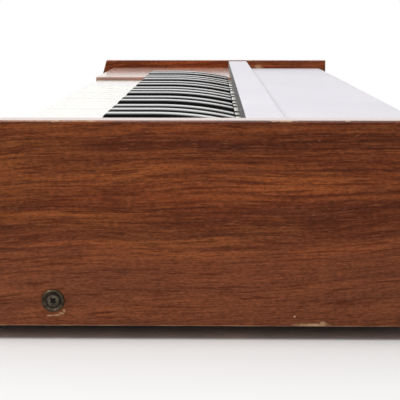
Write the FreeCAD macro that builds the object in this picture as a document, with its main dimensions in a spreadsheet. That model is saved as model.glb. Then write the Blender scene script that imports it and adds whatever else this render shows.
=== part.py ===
import FreeCAD, Part
import math
import os
import re
import Sketcher

# Analog synthesizer with 37 keys between two wooden end cheeks.
# Frame: X runs from the bass end to the treble end, Y from the player to the rear, Z up.
# The origin lies on the standing surface, under the middle of the outer box. Lengths are in mm.

WHITE_COUNT = 22
NOTES = ["c", "c_sharp", "d", "d_sharp", "e", "f", "f_sharp", "g", "g_sharp", "a", "a_sharp", "b"]
OCTAVES = 3
JACKS = 2
FLUTES = 12
CHIP_ROWS = 2
CHIP_COLUMNS = 4
CAPACITORS = 3
TOLERANCE = 1e-6
POINTER_START_SHARE = 0.34
SADDLE_SHARE = 0.34

# The controls on the front panel from left to right, with their kinds.
CONTROLS = [
    ("power_switch", "rocker"),
    ("volume_knob", "knob"),
    ("tune_knob", "knob"),
    ("octave_switch", "rocker"),
    ("glide_slider", "slider"),
    ("waveform_knob", "knob"),
    ("cutoff_slider", "slider"),
    ("resonance_slider", "slider"),
]

SIZES = {
    # wooden end cheeks
    "cheek_thickness": 16.0,
    "cheek_bottom_depth": 303.0,
    "cheek_top_depth": 270.0,
    "cheek_height": 115.0,
    "cheek_lift": 8.0,
    "cheek_bevel": 0.9,
    # wooden block beside the keyboard
    "block_width": 190.0,
    "block_nose_depth": 12.0,
    "block_nose_height": 11.5,
    "block_height": 24.0,
    "block_rise": 3.5,
    "block_edge_radius": 1.0,
    # sheet-metal case
    "sheet": 1.5,
    "fit_gap": 0.3,
    "front_setback": 11.0,
    "front_panel_drop": 9.5,
    "flange_depth": 14.0,
    "end_flange_height": 26.0,
    "end_flange_front_inset": 52.0,
    "front_lip_depth": 3.0,
    "front_lip_gap": 0.84,
    "base_inset": 3.0,
    # top cover
    "cover_sheet": 2.0,
    "ridge_gap": 4.2,
    "ridge_width": 21.6,
    "ridge_drop": 1.0,
    "ridge_face_height": 7.6,
    "ridge_rear_run": 5.5,
    "ridge_edge_radius": 0.8,
    "panel_drop": 10.0,
    "rear_bend_radius": 10.0,
    "rear_skirt_height": 27.0,
    # keyboard
    "side_gap": 3.0,
    "white_pitch": 23.5,
    "key_gap": 1.0,
    "key_clearance": 0.6,
    "white_drop": 12.6,
    "head_length": 51.0,
    "head_depth": 20.4,
    "tail_depth": 14.0,
    "tail_step": 4.4,
    "key_wall": 1.6,
    "key_top_wall": 2.0,
    "key_bevel": 0.7,
    "black_front_gap": 1.5,
    "black_base_width": 13.2,
    "black_top_width": 11.8,
    "black_length": 85.7,
    "black_rise": 11.0,
    "black_front_lean": 7.0,
    "black_flat_length": 27.5,
    "black_arch_radius": 245.0,
    "black_roof": 8.0,
    "black_bevel": 0.8,
    "black_front_wall": 8.0,
    # key bearing and frame
    "pivot_inset": 73.5,
    "pivot_depth": 14.1,
    "tail_overhang": 10.0,
    "rod_radius": 1.5,
    "rod_clearance": 0.05,
    "deck_depth": 32.9,
    "deck_front_inset": 14.0,
    "deck_board_gap": 4.0,
    "deck_rear_overhang": 14.0,
    "rail_depth": 5.0,
    "tongue_width": 6.0,
    "white_tongue_inset": 4.0,
    "white_tongue_height": 20.5,
    "black_tongue_inset": 14.0,
    "black_tongue_height": 26.5,
    "felt_inset": 12.0,
    "felt_depth": 16.0,
    "felt_height": 1.8,
    # leaf springs
    "spring_sheet": 0.5,
    "spring_width": 5.0,
    "spring_back_gap": 3.0,
    "spring_clearance": 0.9,
    "spring_reach": 6.0,
    "spring_foot": 9.0,
    # feet
    "foot_height": 9.5,
    "foot_radius": 12.5,
    "foot_end_inset": 20.0,
    "front_foot_inset": 36.5,
    "rear_foot_inset": 33.5,
    # cheek screws and cup washers
    "screw_height": 14.6,
    "front_screw_inset": 76.5,
    "rear_screw_inset": 24.5,
    "screw_radius": 2.0,
    "screw_length": 24.0,
    "screw_head_radius": 4.1,
    "screw_head_height": 0.9,
    "screw_clearance": 0.1,
    "cup_radius": 6.2,
    "cup_height": 1.2,
    # controls on the front panel
    "control_height": 56.0,
    "control_pitch": 80.0,
    "panel_gap": 1.0,
    "shaft_radius": 3.0,
    "shaft_clearance": 0.08,
    "shaft_length": 13.0,
    "knob_radius": 10.0,
    "knob_height": 14.0,
    "flute_radius": 1.6,
    "flute_offset": 0.9,
    "pointer_width": 1.2,
    "pointer_depth": 0.8,
    "slider_travel": 30.0,
    "slider_cap_width": 12.0,
    "slider_cap_length": 8.0,
    "slider_cap_height": 9.0,
    "slider_saddle": 2.2,
    "stem_width": 1.6,
    "stem_length": 5.0,
    "stem_reach": 12.0,
    "stem_clearance": 0.4,
    "rocker_radius": 11.0,
    "rocker_pivot_depth": 2.0,
    "rocker_width": 12.0,
    "rocker_end_rise": 2.5,
    "rocker_mid_rise": 0.8,
    "rocker_depth": 7.0,
    "rocker_clearance": 0.4,
    # boards and their parts
    "board_thickness": 1.6,
    "control_board_depth": 18.0,
    "control_board_height": 56.0,
    "control_board_overhang": 40.0,
    "pot_width": 17.0,
    "slide_pot_width": 9.0,
    "slide_pot_margin": 8.0,
    "switch_box_wall": 2.0,
    "main_board_length": 280.0,
    "main_board_width": 110.0,
    "main_board_right_inset": 193.5,
    "main_board_rear_inset": 91.5,
    "standoff_height": 6.0,
    "standoff_width": 6.0,
    "standoff_inset": 8.0,
    "chip_length": 20.0,
    "chip_width": 7.0,
    "chip_height": 3.6,
    "chip_pitch": 40.0,
    "chip_row_pitch": 34.0,
    "capacitor_length": 18.0,
    "capacitor_width": 8.0,
    "capacitor_height": 14.0,
    "capacitor_pitch": 16.0,
    "contact_board_width": 34.0,
    "contact_board_inset": 80.0,
    "contact_strip_height": 5.0,
    "contact_strip_width": 6.0,
    # transformer
    "core_length": 62.0,
    "core_width": 22.0,
    "core_height": 52.0,
    "coil_length": 38.0,
    "coil_width": 44.0,
    "coil_height": 36.0,
    "ear_reach": 10.0,
    "ear_thickness": 2.0,
    "transformer_end_inset": 70.0,
    "transformer_rear_inset": 85.0,
    # rear sockets
    "socket_height": 52.0,
    "socket_margin": 10.0,
    "socket_plate_lap": 8.0,
    "jack_end_inset": 70.0,
    "jack_pitch": 22.0,
    "jack_bore_radius": 3.25,
    "jack_bore_depth": 30.2,
    "jack_block_wall": 12.0,
    "jack_face_rise": 1.5,
    "jack_bezel": 2.0,
    "inlet_end_inset": 150.0,
    "inlet_width": 27.0,
    "inlet_height": 20.0,
    "inlet_wall": 2.5,
    "inlet_depth": 24.0,
    "inlet_cavity_depth": 18.0,
    "inlet_bezel": 3.0,
    "inlet_bezel_rise": 2.0,
    "pin_width": 4.0,
    "pin_thickness": 2.0,
    "pin_length": 15.0,
    "pin_pitch": 14.0,
    "pin_offset": 4.0,
}

DERIVED = {
    "half_depth": "cheek_bottom_depth / 2",
    "cheek_top_z": "cheek_lift + cheek_height",
    "cheek_top_front": "half_depth - cheek_top_depth",
    "front_lean": "(cheek_bottom_depth - cheek_top_depth) / cheek_height",
    "front_angle": "atan(front_lean)",
    "front_run": "cos(front_angle)",
    "inner_half": f"(block_width + 2 * side_gap + {WHITE_COUNT} * white_pitch) / 2",
    "outer_half": "inner_half + cheek_thickness",
    "keys_left": "block_width + side_gap - inner_half",
    "keys_right": "inner_half - side_gap",
    "base_top": "foot_height + sheet",
    "white_top": "cheek_top_z - white_drop",
    "block_top": "white_top + block_rise",
    "front_panel_top": "white_top - front_panel_drop",
    "lip_front": "front_setback - half_depth + (front_panel_top - cheek_lift) * front_lean",
    "white_front": "lip_front + front_lip_depth + front_lip_gap",
    "head_rear": "white_front + head_length",
    "black_front": "head_rear + black_front_gap",
    "black_rear": "black_front + black_length",
    "black_top": "white_top + black_rise",
    "pivot_y": "half_depth - pivot_inset",
    "pivot_z": "white_top - pivot_depth",
    "tail_rear": "pivot_y + tail_overhang",
    "tail_bottom": "white_top - tail_depth",
    "hidden_top": "white_top - tail_step",
    "hidden_roof": "hidden_top - key_top_wall",
    "ridge_front": "black_rear + ridge_gap",
    "ridge_rear": "ridge_front + ridge_width",
    "ridge_top": "cheek_top_z - ridge_drop",
    "panel_top": "cheek_top_z - panel_drop",
    "deck_top": "white_top - deck_depth",
    "control_y": "front_setback - half_depth + (control_height - cheek_lift) * front_lean",
    "board_half_rise": "control_board_height / 2 * abs(sin(front_angle))",
    "board_rear": "control_y + board_half_rise + (control_board_depth + board_thickness) * front_run",
    "deck_front": "max(white_front + deck_front_inset; board_rear + deck_board_gap)",
    "deck_rear": "tail_rear + deck_rear_overhang",
    "skirt_bottom": "panel_top - rear_skirt_height",
}

doc = FreeCAD.newDocument("synthesizer")
sheet = doc.addObject("Spreadsheet::Sheet", "Sizes")
for row, (alias, value) in enumerate(SIZES.items(), start=1):
    sheet.set(f"A{row}", alias)
    sheet.set(f"B{row}", str(value))
    sheet.setAlias(f"B{row}", alias)
doc.recompute()


def named(formula):
    """A formula in plain size names, with each name led back to its owner in the document."""

    def owner(match):
        word = match.group()
        if word in SIZES:
            return "Sizes." + word
        if word in DERIVED:
            return "Derived." + word
        return word

    return re.sub(r"[a-z][a-z0-9_]*", owner, str(formula))


derived = doc.addObject("App::VarSet", "Derived")
for word in DERIVED:
    derived.addProperty("App::PropertyFloat", word, "Derived")
for word, formula in DERIVED.items():
    derived.setExpression(word, named(formula).replace("Derived.", ""))
doc.recompute()


def bind(item, formulas):
    for prop, formula in formulas.items():
        item.setExpression(prop, named(formula))


def place(item, x=0, y=0, z=0):
    for axis, formula in (("x", x), ("y", y), ("z", z)):
        if formula != 0:
            bind(item, {f"Placement.Base.{axis}": formula})
    return item


def box(name, x_span, y_span, z_span):
    """A block given by its two ends along each axis."""
    item = doc.addObject("Part::Box", name)
    spans = {"Length": x_span, "Width": y_span, "Height": z_span}
    bind(item, {prop: f"({high}) - ({low})" for prop, (low, high) in spans.items()})
    return place(item, x_span[0], y_span[0], z_span[0])


TURNS = {
    "x": FreeCAD.Rotation(FreeCAD.Vector(0, 1, 0), 90),
    "y": FreeCAD.Rotation(FreeCAD.Vector(1, 0, 0), -90),
    "z": FreeCAD.Rotation(),
}


def cylinder(name, axis, radius, length, x=0, y=0, z=0):
    """A round bar that starts at x, y, z and runs along an axis."""
    item = doc.addObject("Part::Cylinder", name)
    bind(item, {"Radius": radius, "Height": length})
    item.Placement = FreeCAD.Placement(FreeCAD.Vector(), TURNS[axis])
    return place(item, x, y, z)


def fuse(name, items):
    item = doc.addObject("Part::MultiFuse", name)
    item.Shapes = items
    item.Refine = True
    return item


def cut(name, base, tools):
    item = doc.addObject("Part::Cut", name)
    item.Base = base
    item.Tool = tools[0] if len(tools) == 1 else fuse(name + "_tools", tools)
    return item


def group(name, items):
    item = doc.addObject("Part::Compound", name)
    item.Links = items
    return item


def body_plane(body, role):
    return [plane for plane in body.Origin.OriginFeatures if plane.Role == role][0]


def outline(body, name, role, points, offset=0):
    """A closed sketch whose corners are formulas, on one of the body's own planes."""
    sketch = body.newObject("Sketcher::SketchObject", name)
    sketch.AttachmentSupport = (body_plane(body, role), [""])
    sketch.MapMode = "FlatFace"
    if offset != 0:
        bind(sketch, {"AttachmentOffset.Base.z": offset})
    count = len(points)
    turns = [2 * math.pi * i / count for i in range(count)]
    starts = [FreeCAD.Vector(math.cos(turn), math.sin(turn), 0) for turn in turns]
    for i in range(count):
        sketch.addGeometry(Part.LineSegment(starts[i], starts[(i + 1) % count]), False)
    for i in range(count):
        sketch.addConstraint(Sketcher.Constraint("Coincident", i, 2, (i + 1) % count, 1))
    for i, corner in enumerate(points):
        for kind, start, formula in zip(("DistanceX", "DistanceY"), starts[i], corner):
            index = sketch.addConstraint(Sketcher.Constraint(kind, -1, 1, i, 1, start))
            bind(sketch, {f"Constraints[{index}]": formula})
    return sketch


def pad(body, name, role, points, start, length):
    feature = body.newObject("PartDesign::Pad", name)
    feature.Profile = outline(body, name + "_outline", role, points, start)
    bind(feature, {"Length": length})
    return feature


def prism(name, points, x_span):
    """A body with one profile in the Y-Z plane, run along X."""
    body = doc.addObject("PartDesign::Body", name)
    pad(body, name + "_pad", "YZ_Plane", points, x_span[0], f"({x_span[1]}) - ({x_span[0]})")
    return body


def dress_edges(body, kind, size, wanted):
    """Rounds or bevels the edges of the body's last feature that the test picks."""
    doc.recompute()
    last = body.Tip
    names = [f"Edge{i}" for i, edge in enumerate(last.Shape.Edges, start=1) if wanted(edge)]
    feature = body.newObject(f"PartDesign::{kind}", body.Name + "_dressing")
    feature.Base = (last, names)
    bind(feature, {"Radius" if kind == "Fillet" else "Size": size})
    return body


def value_of(word):
    if word in SIZES:
        return sheet.get(word)
    return getattr(derived, word)


def near(a, b):
    return abs(a - b) < TOLERANCE


def front_plane(height):
    """Y of the front panel's outer face at a height: it leans back like the cheeks' front edge."""
    return f"(front_setback - half_depth + ({height} - cheek_lift) * front_lean)"


def stand_on_panel(item):
    """Turns an item built flat so that its Z axis leaves the front panel's face."""
    item.Placement = FreeCAD.Placement(
        FreeCAD.Vector(), FreeCAD.Rotation(FreeCAD.Vector(1, 0, 0), 90)
    )
    bind(item, {"Placement.Rotation.Angle": "90 - front_angle"})
    return item


# Wooden end cheeks


SCREW_HOLE_RADIUS = "(screw_radius + screw_clearance)"


def screw_places():
    insets = ("front_screw_inset - half_depth", "half_depth - rear_screw_inset")
    return [(y, "cheek_lift + screw_height") for y in insets]


def cheek(name, x_span):
    outer = prism(
        name + "_board",
        [
            ("0 - half_depth", "cheek_lift"),
            ("half_depth", "cheek_lift"),
            ("half_depth", "cheek_top_z"),
            ("cheek_top_front", "cheek_top_z"),
        ],
        x_span,
    )
    dress_edges(outer, "Chamfer", "cheek_bevel", lambda edge: near(edge.BoundBox.XLength, 0))
    holes = [
        cylinder(f"{name}_hole_{i}", "x", SCREW_HOLE_RADIUS, "cheek_thickness", x_span[0], y, z)
        for i, (y, z) in enumerate(screw_places())
    ]
    return cut(name, outer, holes)


right_cheek = cheek("right_cheek", ("inner_half", "outer_half"))
left_cheek = cheek("left_cheek", ("0 - outer_half", "0 - inner_half"))


# Wooden block beside the keyboard


def make_left_block():
    front = front_plane("block_top")
    nose_rear = f"{front} + block_nose_depth"
    nose_bottom = "block_top - block_nose_height"
    bottom = "block_top - block_height"
    rear = "ridge_rear - cover_sheet - fit_gap"
    body = prism(
        "left_block",
        [
            (front, "block_top"),
            (front, nose_bottom),
            (nose_rear, nose_bottom),
            (nose_rear, bottom),
            (rear, bottom),
            (rear, "block_top"),
        ],
        ("0 - inner_half", "block_width - inner_half"),
    )
    top = value_of("block_top")
    rear_line = value_of("ridge_front")
    right = value_of("block_width") - value_of("inner_half")

    def exposed(edge):
        box_of = edge.BoundBox
        on_top = near(box_of.ZMin, top) and box_of.YMin < rear_line
        return on_top and near(box_of.XMax, right)

    return dress_edges(body, "Fillet", "block_edge_radius", exposed)


left_block = make_left_block()


# Sheet-metal case


def make_base_plate():
    front = front_plane("foot_height") + " + base_inset"
    rear = "half_depth - cover_sheet - base_inset"
    plate = box("base_sheet", ("0 - inner_half", "inner_half"), (front, rear), ("foot_height", "base_top"))
    flange_y = ("end_flange_front_inset - half_depth", "half_depth - cover_sheet - flange_depth - fit_gap")
    flange_z = ("foot_height", "foot_height + end_flange_height")
    pieces = [plate]
    slots = []
    for side, low, high in (
        ("left", "0 - inner_half", "sheet - inner_half"),
        ("right", "inner_half - sheet", "inner_half"),
    ):
        pieces.append(box(f"end_flange_{side}", (low, high), flange_y, flange_z))
        for i, (y, z) in enumerate(screw_places()):
            slot_y = (f"{y} - {SCREW_HOLE_RADIUS}", f"{y} + {SCREW_HOLE_RADIUS}")
            slot_z = (f"{z} - {SCREW_HOLE_RADIUS}", flange_z[1])
            slots.append(box(f"flange_slot_{side}_{i}", (low, high), slot_y, slot_z))
    return cut("base_plate", fuse("base_pressing", pieces), slots)


base_plate = make_base_plate()


# Half the width and half the height of the opening that each straight-sided control moves in.
OPENINGS = {
    "slider": (
        "(stem_width / 2 + stem_clearance)",
        "(slider_travel / 2 + stem_length / 2 + stem_clearance)",
    ),
    "rocker": (
        "(rocker_width / 2 + rocker_clearance)",
        "(rocker_radius + rocker_clearance)",
    ),
}


def control_x(slot):
    return f"({slot} - {(len(CONTROLS) - 1) / 2}) * control_pitch"


def control_opening(name, kind, middle, z_span):
    half, reach = OPENINGS[kind]
    return box(name, (f"{middle} - {half}", f"{middle} + {half}"), (f"0 - {reach}", reach), z_span)


def panel_cutters():
    """Openings of the front panel, drawn flat with the panel's middle at the origin."""
    deep = ("0 - control_board_depth / 2", "control_board_depth / 2")
    radius = "shaft_radius + shaft_clearance"
    cutters = []
    for slot, (name, kind) in enumerate(CONTROLS):
        middle = control_x(slot)
        opening = name + "_panel_opening"
        if kind == "knob":
            cutters.append(cylinder(opening, "z", radius, "control_board_depth", middle, 0, deep[0]))
        else:
            cutters.append(control_opening(opening, kind, middle, deep))
    return place(stand_on_panel(group("panel_cutters", cutters)), 0, "control_y", "control_height")


def make_front_panel():
    across = "(sheet / front_run)"
    top = "front_panel_top"
    lip_rear = "lip_front + front_lip_depth"
    floor = "base_top"
    body = prism(
        "front_sheet",
        [
            (front_plane(floor), floor),
            (f"{front_plane(floor)} + flange_depth", floor),
            (f"{front_plane(floor)} + flange_depth", f"{floor} + sheet"),
            (f"{front_plane(floor + ' + sheet')} + {across}", f"{floor} + sheet"),
            (f"{front_plane(top + ' - sheet')} + {across}", f"{top} - sheet"),
            (lip_rear, f"{top} - sheet"),
            (lip_rear, top),
            (front_plane(top), top),
        ],
        ("0 - inner_half", "inner_half"),
    )
    return cut("front_panel", body, [panel_cutters()])


front_panel = make_front_panel()


def make_top_cover():
    body = doc.addObject("PartDesign::Body", "top_cover")
    bottom = "ridge_top - ridge_face_height"
    foot = "ridge_rear + ridge_rear_run"
    rear = "half_depth"
    points = [
        ("ridge_front", bottom),
        ("ridge_front + cover_sheet", bottom),
        ("ridge_front + cover_sheet", "ridge_top - cover_sheet"),
        ("ridge_rear - cover_sheet / 2", "ridge_top - cover_sheet"),
        (f"{foot} - cover_sheet / 2", "panel_top - cover_sheet"),
        (f"{rear} - cover_sheet", "panel_top - cover_sheet"),
        (f"{rear} - cover_sheet", "skirt_bottom"),
        (rear, "skirt_bottom"),
        (rear, "panel_top"),
        (foot, "panel_top"),
        ("ridge_rear", "ridge_top"),
        ("ridge_front", "ridge_top"),
    ]
    pad(body, "cover_pad", "YZ_Plane", points, "0 - inner_half", "2 * inner_half")
    corner = (value_of("half_depth"), value_of("panel_top"))
    inner = (corner[0] - value_of("cover_sheet"), corner[1] - value_of("cover_sheet"))
    ridge = (value_of("ridge_front"), value_of("ridge_top"))

    def at(edge, place_of):
        box_of = edge.BoundBox
        run = near(box_of.YLength, 0) and near(box_of.ZLength, 0)
        return run and near(box_of.YMin, place_of[0]) and near(box_of.ZMin, place_of[1])

    for radius, place_of in (
        ("rear_bend_radius", corner),
        ("rear_bend_radius - cover_sheet", inner),
        ("ridge_edge_radius", ridge),
        ("ridge_edge_radius", (value_of("ridge_rear"), ridge[1])),
    ):
        dress_edges(body, "Fillet", radius, lambda edge: at(edge, place_of))
    return body


top_cover = make_top_cover()


JACK_X = [f"(jack_end_inset - inner_half + {i} * jack_pitch)" for i in range(JACKS)]
INLET_X = "(inlet_end_inset - inner_half)"
INLET_HALF_WIDTH = "(inlet_width / 2 + inlet_wall)"
INLET_HALF_HEIGHT = "(inlet_height / 2 + inlet_wall)"
REAR_FACE = "(half_depth - cover_sheet)"
SOCKET_FACE = f"({REAR_FACE} - sheet)"


def socket_cutter(name, first, last, half_width, half_height, y_span):
    """A window around sockets from first to last along X."""
    x_span = (f"{first} - ({half_width})", f"{last} + ({half_width})")
    z_span = (f"socket_height - ({half_height})", f"socket_height + ({half_height})")
    return box(name, x_span, y_span, z_span)


def make_rear_sheet():
    x_span = ("0 - inner_half", "inner_half")
    y_span = (SOCKET_FACE, REAR_FACE)
    panel = box("rear_wall", x_span, y_span, ("base_top", "skirt_bottom + flange_depth"))
    flange_y = (f"{REAR_FACE} - flange_depth", REAR_FACE)
    flange = box("rear_flange", x_span, flange_y, ("base_top", "base_top + sheet"))
    window = socket_cutter(
        "socket_window",
        f"({JACK_X[0]} - jack_block_wall)",
        f"({INLET_X} + {INLET_HALF_WIDTH})",
        "socket_margin",
        f"max(jack_block_wall; {INLET_HALF_HEIGHT}) + socket_margin",
        y_span,
    )
    return cut("rear_sheet", fuse("rear_pressing", [panel, flange]), [window])


def make_socket_plate():
    """The plate that carries the sockets, lapped over the rear sheet's window from inside."""
    y_span = (f"{SOCKET_FACE} - sheet", SOCKET_FACE)
    plate = socket_cutter(
        "socket_blank",
        f"({JACK_X[0]} - jack_block_wall)",
        f"({INLET_X} + {INLET_HALF_WIDTH})",
        "socket_margin + socket_plate_lap",
        f"max(jack_block_wall; {INLET_HALF_HEIGHT}) + socket_margin + socket_plate_lap",
        y_span,
    )
    windows = [
        socket_cutter(name, first, last, f"{half_width} + fit_gap", f"{half_height} + fit_gap", y_span)
        for name, first, last, half_width, half_height in (
            ("jack_window", JACK_X[0], JACK_X[-1], "jack_block_wall", "jack_block_wall"),
            ("inlet_window", INLET_X, INLET_X, INLET_HALF_WIDTH, INLET_HALF_HEIGHT),
        )
    ]
    return cut("socket_plate", plate, windows)


def make_rear_panel():
    return group("rear_panel", [make_rear_sheet(), make_socket_plate()])


rear_panel = make_rear_panel()


# Sockets in the rear panel


def make_jack_block():
    inner = f"({SOCKET_FACE} - sheet)"
    face = f"{SOCKET_FACE} + jack_face_rise"
    bore_end = f"{face} - jack_bore_depth"
    rear = f"{bore_end} - jack_bezel"
    x_span = (f"{JACK_X[0]} - jack_block_wall", f"{JACK_X[-1]} + jack_block_wall")
    z_span = ("socket_height - jack_block_wall", "socket_height + jack_block_wall")
    block = box("jack_body", x_span, (rear, face), z_span)
    collar = box(
        "jack_collar",
        (f"{x_span[0]} - jack_bezel", f"{x_span[1]} + jack_bezel"),
        (f"{inner} - jack_bezel", inner),
        (f"{z_span[0]} - jack_bezel", f"{z_span[1]} + jack_bezel"),
    )
    bores = [
        cylinder(f"jack_bore_{i}", "y", "jack_bore_radius", "jack_bore_depth", x, bore_end, "socket_height")
        for i, x in enumerate(JACK_X)
    ]
    return cut("jack_block", fuse("jack_moulding", [block, collar]), bores)


jack_block = make_jack_block()


def make_power_inlet():
    face = f"{SOCKET_FACE} + inlet_bezel_rise"
    floor = f"{face} - inlet_cavity_depth"

    def layer(name, margin, y_span):
        half_width = f"({INLET_HALF_WIDTH} + {margin})"
        half_height = f"({INLET_HALF_HEIGHT} + {margin})"
        x_span = (f"{INLET_X} - {half_width}", f"{INLET_X} + {half_width}")
        z_span = (f"socket_height - {half_height}", f"socket_height + {half_height}")
        return box(name, x_span, y_span, z_span)

    shell = layer("inlet_shell", 0, (f"{SOCKET_FACE} - inlet_depth", face))
    bezel = layer("inlet_rim", "inlet_bezel", (SOCKET_FACE, face))
    cavity = layer("inlet_cavity", "(0 - inlet_wall)", (floor, face))
    shell_cut = cut("inlet_moulding", fuse("inlet_solid", [shell, bezel]), [cavity])
    pins = []
    for i, (side, rise) in enumerate(((-1, -1), (1, -1), (0, 1))):
        x = f"({INLET_X} + {side} * pin_pitch / 2)"
        z = f"(socket_height + {rise} * pin_offset / 2)"
        pins.append(
            box(
                f"inlet_pin_{i}",
                (f"{x} - pin_thickness / 2", f"{x} + pin_thickness / 2"),
                (floor, f"{floor} + pin_length"),
                (f"{z} - pin_width / 2", f"{z} + pin_width / 2"),
            )
        )
    return fuse("power_inlet", [shell_cut] + pins)


power_inlet = make_power_inlet()


# Keys


def rod_slot(name, x_span):
    """The open-bottomed slot by which a key snaps over the pivot rod."""
    radius = "(rod_radius + rod_clearance)"
    y_span = (f"pivot_y - {radius}", f"pivot_y + {radius}")
    return box(name + "_slot", x_span, y_span, ("tail_bottom", f"pivot_z + {radius}"))


def bevel_key(name, blank, bevel, wanted):
    """Bevels a key's edges that fingers meet."""
    doc.recompute()
    item = doc.addObject("Part::Chamfer", name)
    item.Base = blank
    size = value_of(bevel)
    item.Edges = [(i, size, size) for i, edge in enumerate(blank.Shape.Edges, start=1) if wanted(edge)]
    return item


def white_key(name, index, left, right):
    """left and right bound the tail, measured from the key's own left edge."""
    start = f"(keys_left + {index} * white_pitch)"
    head_x = (f"{start} + key_gap / 2", f"{start} + white_pitch - key_gap / 2")
    tail_x = (f"{start} + {left}", f"{start} + {right}")
    head = box(name + "_head", head_x, ("white_front", "head_rear"), ("white_top - head_depth", "white_top"))
    tail = box(name + "_tail", tail_x, ("head_rear", "tail_rear"), ("tail_bottom", "white_top"))
    cuts = [
        box(name + "_step", tail_x, ("ridge_front + cover_sheet", "tail_rear"), ("hidden_top", "white_top")),
        box(
            name + "_head_hollow",
            (f"{head_x[0]} + key_wall", f"{head_x[1]} - key_wall"),
            ("white_front + key_wall", "head_rear - key_wall"),
            ("white_top - head_depth", "white_top - key_top_wall"),
        ),
        box(
            name + "_tail_hollow",
            (f"{tail_x[0]} + key_wall", f"{tail_x[1]} - key_wall"),
            ("head_rear", "tail_rear - key_wall"),
            ("tail_bottom", "hidden_roof"),
        ),
        rod_slot(name, tail_x),
    ]
    blank = cut(name + "_blank", fuse(name + "_solid", [head, tail]), cuts)
    top = value_of("white_top")
    front = value_of("white_front")
    rear = value_of("head_rear")

    def wanted(edge):
        box_of = edge.BoundBox
        on_head = box_of.YMax < rear + TOLERANCE and near(box_of.ZMax, top)
        flat = near(box_of.ZMin, top) and (near(box_of.YMax, front) or near(box_of.XLength, 0))
        return on_head and flat

    return bevel_key(name, blank, "key_bevel", wanted)


def black_key(name, middle):
    half = "black_base_width / 2"
    x_span = (f"{middle} - {half}", f"{middle} + {half}")
    arm = box(name + "_arm", x_span, ("black_front", "tail_rear"), ("tail_bottom", "hidden_top"))
    shoulder = box(name + "_shoulder", x_span, ("black_front", "black_rear"), ("hidden_top", "white_top"))
    cap = doc.addObject("Part::Wedge", name + "_cap")
    upright = FreeCAD.Rotation(FreeCAD.Vector(1, 0, 0), 90)
    cap.Placement = FreeCAD.Placement(FreeCAD.Vector(), upright)
    bind(
        cap,
        {
            "Xmin": f"0 - {half}",
            "Xmax": half,
            "X2min": "0 - black_top_width / 2",
            "X2max": "black_top_width / 2",
            "Ymin": "0",
            "Ymax": "black_rise",
            "Zmin": "0 - black_length",
            "Zmax": "0",
            "Z2min": "0 - black_length",
            "Z2max": "0 - black_front_lean",
        },
    )
    place(cap, middle, "black_front", "white_top")
    arch_start = "(black_front + black_front_lean + black_flat_length)"
    above = box(name + "_above", x_span, (arch_start, "black_rear"), ("white_top", "black_top + black_roof"))
    radius = "black_arch_radius"
    arch_z = "black_top - black_arch_radius"
    arch = cylinder(name + "_arch", "x", radius, "black_base_width", x_span[0], arch_start, arch_z)
    scoop = cut(name + "_scoop", above, [arch])
    hollow_x = (f"{x_span[0]} + key_wall", f"{x_span[1]} - key_wall")
    hollow_front = "black_front + black_front_wall"
    arm_hollow_y = (hollow_front, "tail_rear - key_wall")
    cap_hollow_y = (hollow_front, "black_rear - key_wall")
    cuts = [
        scoop,
        box(name + "_arm_hollow", hollow_x, arm_hollow_y, ("tail_bottom", "hidden_roof")),
        box(name + "_cap_hollow", hollow_x, cap_hollow_y, ("hidden_roof", "black_top - black_roof")),
        rod_slot(name, x_span),
    ]
    blank = cut(name + "_blank", fuse(name + "_solid", [arm, shoulder, cap]), cuts)
    low = value_of("black_top") - value_of("black_roof") + value_of("key_top_wall") / 2
    front = value_of("black_front") + value_of("black_front_lean")
    rear = value_of("black_rear")

    def wanted(edge):
        box_of = edge.BoundBox
        above_cap = box_of.ZMin > low and box_of.YMax < rear + TOLERANCE
        lengthwise = box_of.YLength > box_of.XLength
        return above_cap and (lengthwise or near(box_of.YMax, front))

    return bevel_key(name, blank, "black_bevel", wanted)


def make_keyboard():
    """The keys of each octave in two groups: c to e and f to b, with all tails of a group alike."""
    keys = {}
    centres = []
    white_index = 0
    for octave in range(1, OCTAVES + 1):
        for whites, notes in ((3, NOTES[:5]), (4, NOTES[5:])):
            tail_pitch = f"({whites} * white_pitch / {len(notes)})"
            group_start = f"(keys_left + {white_index} * white_pitch)"
            for slot, note in enumerate(notes):
                name = f"key_{note}{octave}"
                middle = f"({group_start} + {slot + 0.5} * {tail_pitch})"
                centres.append((name, middle, slot % 2 == 1))
                if slot % 2 == 1:
                    keys[name] = black_key(name, middle)
                    continue
                step = slot // 2
                own = f"{step} * white_pitch"
                reach = "black_base_width / 2 + key_clearance"
                left = "key_gap / 2"
                right = "white_pitch - key_gap / 2"
                if step > 0:
                    left = f"(({slot - 0.5}) * {tail_pitch} + {reach} - {own})"
                if step < whites - 1:
                    right = f"(({slot + 1.5}) * {tail_pitch} - ({reach}) - {own})"
                keys[name] = white_key(name, white_index + step, left, right)
            white_index += whites
    last = f"key_c{OCTAVES + 1}"
    keys[last] = white_key(last, white_index, "key_gap / 2", "white_pitch - key_gap / 2")
    centres.append((last, f"(keys_left + {white_index + 0.5} * white_pitch)", False))
    return keys, centres


keys, key_centres = make_keyboard()


# Key frame with its rod and felt, and the leaf springs


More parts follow.
